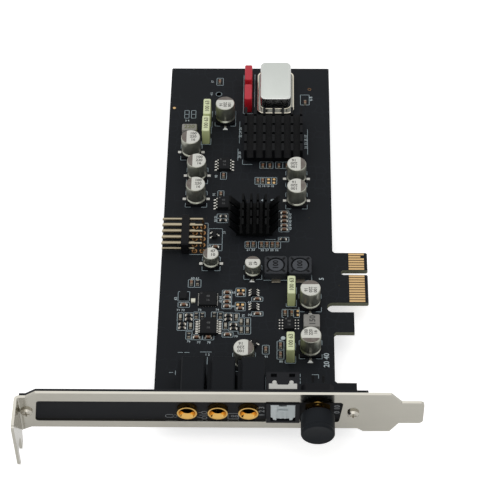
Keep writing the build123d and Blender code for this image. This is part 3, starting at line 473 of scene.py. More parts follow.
# electrolytic cans
canLook = {
    "seat": boardTop + 0.8,
    "large": {"radius": 3.15, "height": 6.9, "figures": ("100", "220", "16"), "print": 1.05, "lead": 3.85},
    "small": {"radius": 2.5, "height": 4.6, "figures": ("47", "10"), "print": 1.1, "lead": 3.2},
    "edge": 0.45, "crimp": {"depth": 0.3, "middle": 0.8, "half": 0.4},
    "darkFrom": 0.42,  # share of the radius where the dark part starts
    "figuresAt": 0.27,  # and by which the figures stand off on the other side
    "rowStep": 1.35,  # over the height of a figure
    "pad": (1.2, 1.0, 0.22), "margin": 0.7, "reach": 1.7, "shell": colour(186, 187, 176),
    "side": colour(148, 150, 136), "face": colour(211, 211, 203), "dark": colour(98, 89, 82),
}
canPlaces = [  # x, y and the turn of the dark part
    (-46.4, 67.4, 90, "large"),
    (-57.5, 51.7, 180, "large"),
    (-55.2, 41.1, 180, "large"),
    (-55.2, 30.8, 180, "large"),
    (-22.4, 39.8, 0, "large"),
    (-22.4, 30.2, 0, "large"),
    (-18.3, -12.3, 90, "large"),
    (-18.3, -30.5, 270, "large"),
    (-38.6, -35.4, 0, "large"),
    (-49.6, 3.4, 180, "small"),
    (-36.3, -0.1, 90, "small"),
]


def canFinish(index, x, y, turn, radius, top):
    # a drawn shell with a printed segment on its end face
    look = canLook
    finish = Finish(f"canSkin{index}")
    away = heading(turn)
    across = (finish.along("X") - x) * away.x + (finish.along("Y") - y) * away.y
    face = finish.along("Z") > top - 0.12
    dark = (across > radius * look["darkFrom"]) * face
    drift = finish.noise(1.4, 4.0)
    lines = finish.noise(0.3, 2.0, (1.0, 1.0, 0.08), seed=0.3)
    shade = finish.mix((drift * 0.7 + lines * 0.3).clamped(), look["side"], look["shell"])
    shade = finish.mix(face, shade, look["face"])
    finish.feed(
        baseColor=finish.mix(dark * (drift * 0.3 + 0.82), shade, look["dark"]),
        metallic=(0.85 - face * 0.75).clamped(),
        roughness=(drift * 0.12 + lines * 0.1 + dark * 0.1 + 0.26).clamped(),
        normal=finish.bump(lines, 0.1, 0.02),
    )
    return finish


def canProfile(radius, height):
    # from the centre of the foot, up past the crimp and over the rounded edge
    edge, crimp = canLook["edge"], canLook["crimp"]
    profile = [(0, 0), (radius - 0.1, 0), (radius, 0.1)]
    for step in range(9):
        lean = cos(pi * step / 8)
        inset = crimp["depth"] * (1 - abs(lean))
        profile.append((radius - inset, crimp["middle"] - crimp["half"] * lean))
    profile += roundedEdge(radius, height, edge, 5)
    return profile + [(radius - edge - 0.12, height), (0, height)]


canPrint, leadPads, padTin, silk, figures = (bmesh.new() for part in range(5))
for index, (x, y, turn, kind) in enumerate(canPlaces, start=1):
    look = canLook[kind]
    radius, seat = look["radius"], canLook["seat"]
    top = seat + look["height"]
    can = bmesh.new()
    addSpun(can, canProfile(radius, look["height"]), (x, y, seat), (0, 0, 1))
    putPiece(can, f"can{index}", canFinish(index, x, y, turn, radius, top), smooth=True,
             replaces=[f"capacitor_can_{index}"])
    middle, away, down = Vector((x, y)), heading(turn), heading(turn - 270)
    for row, text in enumerate(look["figures"]):
        shift = (row - (len(look["figures"]) - 1) / 2) * look["print"] * canLook["rowStep"]
        spot = middle - away * radius * canLook["figuresAt"] + down * shift
        addNumber(canPrint, text, (*spot, top + faceRise), look["print"], turn - 180, bold=heavy)
    for side in (-1, 1):
        spot = middle + away * side * look["lead"]
        if spot.y > y - 1:  # the near lead of a can turned along the card carries an arrow head instead
            pad = canLook["pad"]
            addBlock(leadPads, (*spot, boardTop + pad[2] / 2), pad, turn, bevel=0.08)
    addCorners(silk, x, y, 2 * radius + canLook["margin"], canLook["reach"])
leadSolder = paint("leadSolder", (200, 199, 192), 0.4, metallic=0.35, blotch=0.6, spread=0.2)
putPiece(canPrint, "canPrint", paint("canInk", (84, 82, 78), 0.6))
putPiece(leadPads, "leadPads", leadSolder)
print("cans done")

# film blocks, dipped in resin; their colour carries painted light, paler on the top face, and painted
# shade, deeper down the sides
filmLook = {
    "size": (2.5, 7.2), "height": 6.4, "corner": 0.5, "edge": 0.35, "print": 1.35,
    "lines": ((1.6, -3.8, 1.6, -1.2), (1.6, 1.2, 1.6, 3.8), (-1.6, -3.8, 1.6, -3.8),
              (-1.6, -3.8, -1.6, -2.6)),
    # top is the colour with painted light on the upward face, side the colour with painted shade down the
    # sides
    "green": {"node": "film_capacitor", "top": colour(222, 229, 188), "side": colour(192, 201, 138)},
    "red": {"node": "red_film_capacitor", "top": colour(190, 42, 58), "side": colour(188, 18, 32)},
}
filmPlaces = {"green": [(-52.5, 67.1), (-52.7, 59.2), (-24.15, -10.0), (-24.45, -31.9)],
              "red": [(-38.7, 83.4), (-38.7, 74.1)]}


def filmFinish(name, look):
    finish = Finish(name, gloss=0.35)
    drift = finish.noise(1.8, 4.0)
    fine = finish.noise(0.2, 2.0, seed=0.4)
    rise = (finish.along("Z") - boardTop) / filmLook["height"]
    # painted light and shade: paler where the face looks up and higher on the block, with a random drift
    paintedLight = (finish.facing("Z") * 0.7 + rise * 0.2 + drift * 0.2).clamped()
    finish.feed(
        baseColor=finish.mix(paintedLight, look["side"], look["top"]),
        roughness=(drift * 0.1 + fine * 0.1 + 0.34).clamped(),
        normal=finish.bump(fine, 0.2, 0.03),
    )
    return finish


markInk, heavyInk = bmesh.new(), bmesh.new()
top = boardTop + filmLook["height"]
for shade, places in filmPlaces.items():
    look = filmLook[shade]
    skin = filmFinish(f"film{shade}", look)
    for number, (x, y) in enumerate(places, start=1):
        block = bmesh.new()
        addLoft(block, roundedTop(x, y, *filmLook["size"], boardTop, top, filmLook))
        putPiece(block, f"film{shade}{number}", skin, smooth=True,
                 replaces=[f"{look['node']}_{number}"])
        if shade == "green":
            spot = (x + 0.1, y, top + faceRise)
            addNumber(markInk, "100 63", spot, filmLook["print"], 90, bold=heavy)
            for x0, y0, x1, y1 in filmLook["lines"]:
                addStrip(silk, x + x0, y + y0, x + x1, y + y1)

# oscillator: a drawn can on a flange with a rolled rim
oscillator = {
    "corner": 1.7, "edge": 0.8,
    "rim": 0.5,  # thickness of the rolled rim
    "rimCorner": 2.4, "rimDrop": 0.12, "rimShade": (206, 200, 184), "plate": (120, 120, 114),
    "satin": (colour(196, 200, 195), colour(208, 212, 207)), "mirror": colour(244, 244, 242),
}


def oscillatorFinish():
    # satin on top, nearly a mirror down the sides
    finish = Finish("oscillatorSkin")
    upward = finish.facing("Z").clamped()
    drift = finish.noise(6.0, 3.0)
    lines = finish.noise(0.25, 2.0, (1.0, 0.08, 1.0), seed=0.2)
    satin = finish.mix((drift * 0.5 + lines * 0.3).clamped(), *oscillator["satin"])
    finish.feed(
        baseColor=finish.mix(upward, oscillator["mirror"], satin),
        metallic=(1 - upward * 0.45).clamped(),
        roughness=(upward * 0.3 + lines * 0.05 + 0.07).clamped(),
        normal=finish.bump(lines, 0.02, 0.01),
    )
    return finish


low, high = corners("oscillator_can")
middle, span = (low + high) / 2, high - low
shell = bmesh.new()
addLoft(shell, roundedTop(middle.x, middle.y, span.x, span.y, low.z, high.z, oscillator, 4))
putPiece(shell, "oscillatorShell", oscillatorFinish(), smooth=True,
         replaces=["oscillator_can"])
low, high = corners("oscillator_base")
middle, span = (low + high) / 2, high - low
half = oscillator["rim"] / 2
rim = bmesh.new()
profile = []
for step in range(8):
    angle = tau * step / 8
    inset = half * (1 + cos(angle))
    outline = roundedBox(middle.x, middle.y, span.x - 2 * inset, span.y - 2 * inset,
                         oscillator["rimCorner"] - inset, 5)
    profile.append((outline, high.z - oscillator["rimDrop"] + half * sin(angle)))
addLoft(rim, profile, closed=True)
putPiece(rim, "oscillatorRim", paint("rimSheen", oscillator["rimShade"], 0.2, metallic=1.0),
         smooth=True)
dress(paint("flangeSkin", oscillator["plate"], 0.14, metallic=1.0, blotch=5.0), "oscillator_base")

# shielded coils: a ferrite frame with a round well, and the drum inside it; black painted shade in the gap
# round the drum and in the four corner slots
coilLook = {
    "places": ((-29.05, 0.7), (-21.4, 0.7)), "size": 7.3, "corner": 1.1, "edge": 0.3,
    "high": boardTop + 3.0, "low": boardTop + 0.2, "well": 2.95, "depth": 0.7, "drum": 2.45,
    "drumEdge": ((0, -0.75), (0, -0.18), (0.12, -0.04)),  # inset and drop
    # mark is the size of a black block of painted shade for each corner slot, and the value after it is
    # that block's distance from the middle along both axes
    "mark": (1.1, 0.7, 0.03), "slotShadeAt": 2.5, "print": 1.7,
    "terminals": ((-4.2, 1.5), (4.1, 1.2)),  # place along the card and length
}
look = coilLook
drums, coilPrintAndShade, terminals = bmesh.new(), bmesh.new(), bmesh.new()
for number, (x, y) in enumerate(look["places"], start=1):
    high, size = look["high"], look["size"]
    well, drum = look["well"], look["drum"]
    sunk = [(circle(x, y, well), high), (circle(x, y, well), high - look["depth"])]
    coil = bmesh.new()
    addLoft(coil, roundedTop(x, y, size, size, look["low"], high, coilLook) + sunk)
    addLoft(drums, [(circle(x, y, drum - inset, 32), high + drop)
                    for inset, drop in look["drumEdge"]])
    ferrite = paint(f"ferriteGrey{number}", (48, 50, 54), 0.45, blotch=1.2, relief=0.3, gloss=0.15)
    putPiece(coil, f"coil{number}", ferrite, smooth=True,
             replaces=[f"power_inductor_{number}"])
    # painted shade: a black ring at the foot of the gap between the well and the drum, and black blocks for
    # the corner slots; the figures on the drum are print
    addRing(coilPrintAndShade, (x, y, high - look["depth"] - 0.02), (well + drum) / 2, well - drum, 0.06,
            count=32)
    for sideX, sideY in quarters:
        spot = (x + sideX * look["slotShadeAt"], y + sideY * look["slotShadeAt"], high)
        addBlock(coilPrintAndShade, spot, look["mark"], 45 * sideX * sideY)
    addNumber(coilPrintAndShade, "100", (x, y, high - 0.04 + faceRise), look["print"], 90, bold=heavy)
    for shift, length in look["terminals"]:
        addBlock(terminals, (x + 0.1, y + shift, boardTop + 0.12), (2.9, length, 0.24), bevel=0.1)
drumGrey = paint("drumGrey", (72, 75, 80), 0.5, blotch=1.2, relief=0.3, gloss=0.2)
putPiece(drums, "coilDrums", drumGrey, smooth=True)
# black print and painted shade of the coils in one piece
putPiece(coilPrintAndShade, "coilPrintAndPaintedShade", paint("coilPrintAndShadeBlack", (16, 17, 19), 0.6, gloss=0.1))
putPiece(terminals, "coilTerminals", tinDull)

# moulded blocks
mouldedLook = {
    "blocks": ((-58.4, 61.4, 5.0, 3.0), (-17.9, -20.8, 5.0, 4.9)),  # x, y, width and length
    "top": boardTop + 2.2, "corner": 0.4, "edge": 0.25, "ink": boardTop + 2.206,
}
moulded = bmesh.new()
for x, y, width, length in mouldedLook["blocks"]:
    addLoft(moulded, roundedTop(x, y, width, length, boardTop, mouldedLook["top"], mouldedLook))
addNumber(markInk, "220", (-58.4, 61.5, mouldedLook["ink"]), 1.7, bold=heavy)
addNumber(heavyInk, "150", (-17.6, -20.8, mouldedLook["ink"]), 1.8, 90, bold=heavy)
addStrip(heavyInk, -19.4, -22.6, -19.4, -19.0, 0.25)
mouldedGrey = paint("mouldedGrey", (142, 140, 135), 0.6, blotch=0.7, spread=0.16, relief=0.3)
putPiece(moulded, "mouldedBlocks", mouldedGrey, smooth=True, replaces=["moulded_inductors"])
putPiece(markInk, "markInk", paint("markInkGreen", (104, 106, 78), 0.6))
putPiece(heavyInk, "heavyInk", paint("markInkDark", (66, 66, 64), 0.6))
print("film blocks, oscillator and coils done")

# chip parts: blocks with metal ends
partLook = {
    "length": 1.6, "width": 0.8, "tall": 0.6, "thin": 0.45, "end": 0.34,
    "wrap": 0.03,  # the metal ends stand this much proud
    "pad": (0.5, 0.85, 0.03),
    "bare": (0.8, 0.8, 0.04),  # a pad without a part
    "bareStep": 0.75,  # its distance from the middle of the pair
}
acrossBrown = [
    (-44.25, -8.3), (-44.25, -10.2), (-44.25, -12.0), (-44.25, -13.8), (-40.0, -9.0), (-40.1, -14.6),
    (-34.8, -10.9), (-34.7, -16.7), (-53.3, -26.0), (-49.7, -26.0), (-43.8, -24.9), (-57.7, -13.3),
    (-48.4, 10.4), (-26.4, 25.0), (-26.4, 23.2), (-26.4, 21.4), (-26.4, 19.5), (-26.4, 17.8),
]
alongPale = [
    (-58.6, -18.2), (-55.3, -21.6), (-44.5, -21.5), (-41.2, -18.1), (-39.7, -19.9), (-37.7, -19.9),
    (-39.6, -23.1), (-37.7, -23.1),
]
alongBrown = [
    (-55.6, -4.4), (-38.1, 11.5), (-36.3, 11.5), (-33.7, 11.5), (-31.9, 11.5), (-30.2, 11.5),
    (-28.5, 11.5), (-35.1, 38.9), (-33.5, 38.9), (-33.5, 45.6), (-31.2, 45.6), (-28.2, 45.6),
    (-25.5, 45.6), (-32.0, -30.6), (-27.5, -29.0), (-27.5, -32.5), (-48.7, 85.0), (-46.5, 41.2),
    (-47.2, 32.9), (-19.3, 75.0), (-26.1, -16.3), (-24.0, -16.3),
]
acrossBlack = [
    (-56.0, -17.4), (-56.0, -19.0), (-43.7, -17.4), (-43.7, -19.0), (-42.1, -21.0), (-42.0, -22.6),
    (-57.9, -20.9), (-57.9, -22.4), (-46.2, 23.4), (-46.2, 21.7), (-26.7, 13.7),
]
alongBlack = [(-53.7, -17.6), (-51.8, -17.6), (-48.1, -17.4), (-46.2, -17.7), (-55.7, -25.4), (-53.7, -4.4)]
bareAlong = [(-22.1, -16.3), (-31.6, 38.9), (-29.8, 38.9)]
bareAcross = [(-40.0, -7.4), (-40.1, -13.1)]
brownBlocks, paleBlocks, blackBlocks, metalEnds, padGold = (bmesh.new() for part in range(5))


def addPart(bm, x, y, turn, tall):
    length, width, end = partLook["length"], partLook["width"], partLook["end"]
    wrap, rise = partLook["wrap"], boardTop + tall / 2
    middle, along = Vector((x, y)), heading(turn)
    addBlock(bm, (x, y, rise), (length - 0.1, width - 0.02, tall - 0.02), turn, bevel=0.04)
    for side in (-1, 1):
        spot = middle + along * side * (length - end) / 2
        addBlock(metalEnds, (*spot, rise + 0.02), (end, width + wrap, tall + wrap), turn, bevel=0.05)
        spot = middle + along * side * (length / 2 + 0.08)
        addBlock(padTin, (*spot, boardTop + 0.02), partLook["pad"], turn)


for bm, places, turn, tall in (
    (brownBlocks, acrossBrown, 0, partLook["tall"]),
    (brownBlocks, alongBrown, 90, partLook["tall"]),
    (paleBlocks, alongPale, 90, partLook["tall"]),
    (blackBlocks, acrossBlack, 0, partLook["thin"]),
    (blackBlocks, alongBlack, 90, partLook["thin"]),
):
    for x, y in places:
        addPart(bm, x, y, turn, tall)
step = partLook["bareStep"]
for places, shiftX, shiftY in ((bareAlong, 0, step), (bareAcross, step, 0)):
    for x, y in places:
        for side in (-1, 1):
            spot = (x + side * shiftX, y + side * shiftY, boardTop + 0.02)
            addBlock(padGold, spot, partLook["bare"], bevel=0.01)
blockBrown = paint("blockBrown", (108, 70, 44), 0.45, blotch=1.0, spread=0.25)
blockPale = paint("blockPale", (158, 156, 146), 0.5, blotch=1.0)
blockBlack = paint("blockBlack", (30, 31, 35), 0.4, blotch=1.0, gloss=0.15)
putPiece(brownBlocks, "brownBlocks", blockBrown, replaces=["ceramic_capacitors"])
putPiece(paleBlocks, "paleBlocks", blockPale)
putPiece(blackBlocks, "blackBlocks", blockBlack, replaces=["chip_resistors"])
putPiece(metalEnds, "metalEnds", tinDull)

# chips: place, body size, reach, width and pitch of the leads, rows on the left and right
chips = [
    (-50.2, -11.15, 5.6, 5.3, 0.9, 0, 0, 0, 0, 0),
    (-49.8, -22.2, 5.2, 6.2, 1.4, 1.2, 0.3, 0.65, 8, 8),
    (-35.85, -8.4, 1.7, 2.9, 1.1, 0.6, 0.4, 0.95, 3, 3),
    (-35.8, -14.0, 1.7, 2.9, 1.1, 0.6, 0.4, 0.95, 3, 3),
    (-35.6, -28.6, 1.5, 2.9, 1.1, 0.6, 0.4, 1.9, 2, 1),
    (-46.3, 45.6, 3.9, 4.9, 1.5, 1.05, 0.42, 1.27, 4, 4),
    (-46.25, 28.5, 3.9, 4.9, 1.5, 1.05, 0.42, 1.27, 4, 4),
    (-24.9, -20.85, 3.2, 4.5, 1.0, 0, 0, 0, 0, 0),
    (-48.8, 15.2, 1.5, 2.9, 1.1, 0.6, 0.4, 1.9, 2, 1),
    (-57.9, -9.8, 2.2, 3.0, 0.9, 0, 0, 0, 0, 0),
]
chipLook = {
    "lead": 0.15,  # thickness of a lead
    "print": 0.8, "mark": 0.25,
    # fine contacts round the flat chip by the sockets
    "flat": {"x": -50.2, "y": -11.15, "side": 3.0, "near": 2.85, "count": 10, "pitch": 0.5,
             "pad": (0.2, 0.2, 0.1)},
    # rows on both sides of the square chip
    "square": {"x": -24.9, "y": -20.85, "reach": (2.0, 2.9), "count": 4, "pitch": 1.1,
               "pad": (0.45, 0.4, 0.16)},
}


def addLead(bm, x, y, side, reach, tall, width):
    # one bent lead: out of the body, down, and along the board
    half, thick = tall * 0.55, chipLook["lead"]
    path = [(-0.1, half), (reach * 0.3, half), (reach * 0.5, thick), (reach, thick), (reach, 0),
            (reach * 0.5 - 0.12, 0), (reach * 0.3 - 0.08, half - thick), (-0.1, half - thick)]
    spot = at(x, y + width / 2, boardTop) @ Matrix.Diagonal((side, 1, 1, 1)) @ faceFront
    addLoft(bm, [(path, 0), (path, width)], spot)


def rowShifts(count, pitch):
    # the places of a row about its middle
    return [(number - (count - 1) / 2) * pitch for number in range(count)]


leads, chipInk = bmesh.new(), bmesh.new()
for x, y, width, length, tall, reach, pin, pitch, left, right in chips:
    for side, count in ((-1, left), (1, right)):
        for shift in rowShifts(count, pitch):
            addLead(leads, x + side * width / 2, y + shift, side, reach, tall, pin)
            spot = (x + side * (width / 2 + reach * 0.95), y + shift, boardTop + 0.015)
            addBlock(padTin, spot, (0.5, pin + 0.05, 0.03))
    if width > 3:
        face = boardTop + tall
        addNumber(chipInk, "48", (x, y + length * 0.14, face + faceRise), chipLook["print"])
        addNumber(chipInk, "16", (x, y - length * 0.16, face + faceRise), chipLook["print"])
        addRing(chipInk, (x - width / 2 + 0.7, y + length / 2 - 0.7, face), chipLook["mark"], 0.1, 0.01,
                count=14)
leadTin = paint("leadTin", (188, 186, 178), 0.24, metallic=1.0)
putPiece(leads, "chipPins", leadTin, replaces=["chip_leads"])
flat, square = chipLook["flat"], chipLook["square"]
for shift in rowShifts(flat["count"], flat["pitch"]):
    for x, y in ((-flat["side"], shift), (flat["side"], shift), (shift, -flat["near"])):
        addBlock(padTin, (flat["x"] + x, flat["y"] + y, boardTop + flat["pad"][2] / 2), flat["pad"])
for side in (-1, 1):
    for shift in rowShifts(square["count"], square["pitch"]):
        for reach in square["reach"]:
            spot = (square["x"] + side * reach, square["y"] + shift, boardTop + square["pad"][2] / 2)
            addBlock(padTin, spot, square["pad"], bevel=0.05)
putPiece(chipInk, "chipInk", paint("chipInkGrey", (72, 73, 74), 0.6))
print("chips done")

# plated rings round the header's holes, test points and the solder under the board
jackX = (-54.95, -45.92, -36.89)
legPlaces = {
    "header": [(-55.1 + x, 13.7 + y) for x in (0, 2.54) for y in rowShifts(5, 2.54)],
    "jacks": [(x + side, y) for x in jackX for y in (-52.0, -43.4) for side in (-2.9, 2.9)],
    "control": [(-16.55 + x, -52.0) for x in (-2.5, 0, 2.5)],
    "light": [(-26.75 + x, -48.1) for x in (-1.9, 0, 1.9)],
    "films": [(x, y + side) for places in filmPlaces.values() for x, y in places for side in (-2.5, 2.5)],
    "oscillator": [(-29.4 + x, 78.7 + y) for x in (-3.81, 3.81) for y in (-7.62, 7.62)],
}
jointLook = {"radius": 0.85, "height": 0.75, "low": -0.8, "foot": 0.04, "neck": 0.3, "sides": 14}
pointLook = {
    "headerRing": (0.72, 0.34),  # radius and line
    "testRing": (-17.75, 81.5, 0.5, 0.1),  # x, y, radius and line
    "dots": ((-64.0, 72.4, 0.5), (-38.0, 72.0, 0.25)),  # x, y and radius
}
rings, joints = bmesh.new(), bmesh.new()
for x, y in legPlaces["header"]:
    addRing(rings, (x, y, boardTop), *pointLook["headerRing"])
x, y, radius, line = pointLook["testRing"]
addRing(rings, (x, y, boardTop), radius, line, 0.02)
for x, y, radius in pointLook["dots"]:
    addCone(padGold, (x, y, boardTop + 0.02), radius, 0.04)
radius, low, sides = jointLook["radius"], jointLook["low"], jointLook["sides"]
for places in legPlaces.values():
    for x, y in places:
        addCone(joints, (x, y, low - jointLook["foot"] / 2), radius, jointLook["foot"], sides)
        addCone(joints, (x, y, low - jointLook["height"] / 2), jointLook["neck"],
                jointLook["height"], sides, tip=radius * 0.85)
copperGold = paint("copperGold", (150, 112, 74), 0.32, metallic=1.0, blotch=0.8)
putPiece(rings, "platedRings", copperGold)
putPiece(joints, "solderJoints", tinBright, smooth=True)
putPiece(padTin, "padTin", tinBright)
putPiece(padGold, "padGold", goldPad)

# print on the board: boxes as x, y, width and length, then columns and rows of cells
grids = [
    (-48.65, 85.1, 2.2, 3.5), (-32.47, 38.95, 7.2, 3.1, 4, 1), (-32.35, 46.0, 4.4, 2.9, 2, 1),
    (-26.9, 46.0, 4.8, 2.9, 2, 1), (-37.15, 11.35, 3.6, 2.9, 2, 1), (-31.1, 11.3, 7.1, 2.9, 4, 1),
    (-26.5, 21.35, 3.2, 9.0, 1, 5), (-26.6, 13.6, 3.4, 1.9), (-48.5, 14.8, 4.4, 6.6),
    (-48.5, 10.1, 4.4, 2.6), (-46.4, 22.5, 3.6, 3.7, 1, 2), (-54.6, -4.7, 4.0, 3.1, 2, 1),
    (-44.3, -11.05, 3.0, 7.4, 1, 4), (-40.0, -8.2, 3.1, 3.4), (-40.1, -13.85, 3.1, 3.4),
    (-34.8, -10.9, 3.5, 1.7), (-34.7, -16.7, 3.5, 1.7), (-57.8, -9.9, 3.6, 3.8),
    (-57.7, -13.3, 3.6, 1.9), (-56.0, -18.2, 3.1, 3.5), (-58.6, -18.2, 1.9, 3.5),
    (-52.75, -17.6, 3.6, 3.0, 2, 1), (-47.15, -17.55, 3.7, 3.0, 2, 1), (-43.7, -18.2, 3.1, 3.5),
    (-41.2, -18.2, 1.8, 3.4), (-38.7, -19.9, 3.9, 3.2, 2, 1), (-38.65, -23.1, 3.9, 3.1, 2, 1),
    (-42.05, -21.8, 2.9, 3.5), (-44.5, -21.5, 1.9, 3.1), (-43.8, -24.9, 3.4, 1.9),
    (-57.9, -21.65, 3.1, 3.4), (-55.3, -21.6, 1.9, 3.3), (-55.7, -25.2, 1.9, 3.1),
    (-53.3, -26.0, 3.4, 1.9), (-49.7, -26.0, 3.4, 1.9), (-24.35, -16.5, 5.4, 3.2, 3, 1),
    (-27.5, -30.75, 2.1, 6.9, 1, 2), (-32.0, -30.6, 2.1, 3.4), (-46.5, 41.2, 2.0, 3.2),
    (-47.2, 32.9, 2.0, 3.2), (-19.4, 76.4, 3.0, 4.8), (-59.6, 69.4, 1.5, 3.6, 1, 2),
    (-57.3, 69.4, 1.5, 3.6, 1, 2),
]
strips = [
    (-40.4, 69.8, -40.4, 88.2), (-40.4, 69.8, -37.2, 69.8), (-36.6, 72.9, -36.6, 88.6),
    (-51.0, 7.2, -51.0, 20.4), (-56.6, 7.2, -51.0, 7.2), (-52.0, 20.4, -51.0, 20.4),
    (-40.3, 46.3, -40.3, 48.4), (-40.3, 46.3, -37.1, 46.3), (-42.95, 65.9, -42.95, 70.6),
    (-32.4, 13.6, -29.2, 13.6), (-32.8, -3.25, -17.7, -3.25), (-17.7, -3.25, -17.7, -1.2),
    (-58.8, -31.8, -57.4, -31.8), (-56.8, -31.8, -55.4, -31.8), (-52.0, -31.6, -48.6, -31.6),
    (-49.8, -33.6, -49.8, -36.2), (-61.2, -39.4, -60.1, -39.4), (-59.3, -38.8, -59.3, -40.2),
    (-32.0, -40.9, -32.0, -45.6), (-21.5, -39.7, -21.5, -40.7), (-21.5, -41.3, -21.5, -42.0),
    (-21.5, -42.5, -21.5, -43.3), (-17.9, -39.95, -15.9, -39.95), (-15.95, -39.95, -15.95, -41.3),
    (-41.5, 56.0, -41.5, 66.0), (-41.9, 48.2, -41.9, 53.3), (-18.6, 51.0, -18.6, 62.4),
    (-44.6, -39.4, -44.6, -45.6),
]
arrowPlaces = [(-46.35, 62.9), (-36.5, -3.3), (-18.3, -16.4), (-18.4, -34.8)]
arrowShape = [(-0.85, -0.75), (0.85, -0.75), (0, 0.75)]
for box in grids:
    addGrid(silk, *box)
for strip in strips:
    addStrip(silk, *strip)
arrows = bmesh.new()
for x, y in arrowPlaces:
    outline = [(x + a, y + b) for a, b in arrowShape]
    addLoft(arrows, [(outline, inkRise - inkThick / 2), (outline, inkRise + inkThick / 2)])
arrowWhite = paint("arrowWhite", (228, 230, 228), 0.6, blotch=0.7)
putPiece(arrows, "leadArrows", arrowWhite)
addCone(figures, (-26.7, -26.1, inkRise), 0.7, inkThick, sides=20)
addRing(silk, (-48.9, 79.1, boardTop), 1.0, 0.14)
labels = {  # by height and turn: figures, x and y
    (0.8, 90): [
        ("17", -51.2, 85.1), ("4 5", -51.4, 79.2), ("53", -45.7, 16.5), ("54", -50.1, 10.6),
        ("63 64", -46.3, -11.0), ("75", -39.0, -17.4), ("8 9", -53.0, 41.0),
    ],
    (0.95, 90): [("22 24 26", -41.2, 61.0), ("28 30", -41.3, 50.6), ("31 33 35 37", -19.1, 56.7)],
    (1.1, 90): [("6 8", -17.3, 77.0)],
    (0.8, 0): [
        ("12 14 16 18", -32.5, 36.6), ("65", -42.2, -8.3), ("66", -42.3, -13.8), ("67", -37.2, -12.2),
        ("70", -37.1, -17.2), ("71 72", -58.6, -15.4), ("73", -52.7, -15.3), ("74", -47.2, -15.2),
        ("76", -55.7, -27.6), ("77", -52.6, -28.0), ("78", -49.5, -28.0), ("79", -41.2, -25.6),
        ("80", -27.3, -35.1), ("81", -31.8, -33.3), ("1 2", -49.8, -32.6), ("3 4", -59.4, 66.4),
    ],
    (1.0, 0): [("41", -33.3, 30.4), ("42", -30.2, 30.4)],
    (0.85, 0): [("21 23", -37.1, 9.2), ("25 27 29 32", -31.1, 9.1), ("60 61", -54.5, -2.6)],
    (0.85, 90): [("43 44 45 46 47", -24.4, 21.3), ("50 51", -48.6, 22.3)],
    (0.9, 90): [("62", -60.3, -10.8), ("90", -48.9, 40.9), ("91", -49.4, 32.9)],
    (0.7, 0): [("82", -27.4, -27.1)],
    (1.7, 90): [("20 40", -13.4, -34.5)],
    (1.5, 90): [("5", -14.6, -2.6)],
}
for (height, turn), rows in labels.items():
    for text, x, y in rows:
        addNumber(figures, text, (x, y, inkRise), height, turn)
putPiece(silk, "silkMarks", silkWhite)
putPiece(figures, "partNumbers", numberWhite)
print("print and solder done")

# plain signs on the front panel, beside the sockets and the knob
signLook = {
    "line": 0.16, "sunk": -0.01, "proud": 0.015,
    "pills": ((-60.3, 2.8, 2.4, 1.5), (-50.0, 4.6, 1.5, 1.2), (-50.0, 2.0, 1.5, 0.9)),  # x, z and size
    "rings": ((-58.6, 2.75, 0.6), (-41.6, 2.85, 0.4), (-40.5, 2.85, 0.4)),  # x, z and radius
    "bars": ((-51.7, 4.6, -50.9, 4.6), (-52.2, 2.4, -50.9, 1.9), (-43.0, 4.2, -39.9, 4.2),
             (-43.0, 1.5, -39.9, 1.5), (-43.0, 1.5, -43.0, 4.2), (-39.9, 1.5, -39.9, 4.2),
             (-51.4, 3.3, -48.6, 3.3)),
    "figures": (("1 2 3", -32.95, 5.4), ("0 10", -10.75, 6.6)), "print": 1.7,
}
line, sunk, proud = signLook["line"], signLook["sunk"], signLook["proud"]
panelFace = corners("front_panel")[0].y
signs = bmesh.new()


def addBar(x0, z0, x1, z1):
    half, rise = hypot(x1 - x0, z1 - z0) / 2, line / 2
    lean = Matrix.Rotation(atan2(z1 - z0, x1 - x0), 4, "Z")
    outline = [(-half, -rise), (half, -rise), (half, rise), (-half, rise)]
    spot = at((x0 + x1) / 2, panelFace, (z0 + z1) / 2) @ faceFront @ lean
    addLoft(signs, [(outline, sunk), (outline, proud)], spot)


def addPill(x, z, width, height):
    # a bar with round ends, drawn as an outline
    outer = roundedBox(0, 0, width + line, height + line, (height + line) / 2)
    inner = roundedBox(0, 0, width - line, height - line, (height - line) / 2)
    rings = [(outer, sunk), (outer, proud), (inner, proud), (inner, sunk)]
    addLoft(signs, rings, at(x, panelFace, z) @ faceFront, closed=True)


for pill in signLook["pills"]:
    addPill(*pill)
for x, z, radius in signLook["rings"]:
    addRing(signs, (x, panelFace, z), radius, line, proud, faceFront)
for bar in signLook["bars"]:
    addBar(*bar)
for text, x, z in signLook["figures"]:
    addNumber(signs, text, (x, panelFace - proud, z), signLook["print"], 90, faceFront)
signGrey = paint("signGrey", (132, 136, 140), 0.6, blotch=0.6)
putPiece(signs, "panelSigns", signGrey)

# flap of the optical output: two side plates, a stepped foot and a ribbed middle, on its hinge pin
flapLow, flapHigh = corners("optical_flap")
flapLook = {
    "x": (flapLow.x + flapHigh.x) / 2, "half": 3.6, "foot": flapLow.z, "head": 10.2,
    "back": flapLow.y + 0.8, "thick": 0.35,
    "lap": 0.05,  # plates and ribs start inside the middle sheet
    "plateProud": 0.44, "ribProud": 0.3,
    "notch": (1.15, 1.5),  # half width and depth
    "bar": (3.0, 0.3, 0.35), "pin": 0.4, "pinHigh": 9.85,
}
look = flapLook
flap = bmesh.new()
half, foot, head = look["half"], look["foot"], look["head"]
thick, lap = look["thick"], look["lap"]
notchHalf, notchDeep = look["notch"]
outline = [(1.9, foot + 0.3), (half - 0.7, foot + 0.5), (half - 0.55, foot + 1.3), (half, foot + 1.5),
           (half, head), (notchHalf, head), (notchHalf, head - notchDeep)]
outline += [(-x, z) for x, z in reversed(outline)]
spot = at(look["x"], look["back"], 0) @ faceFront
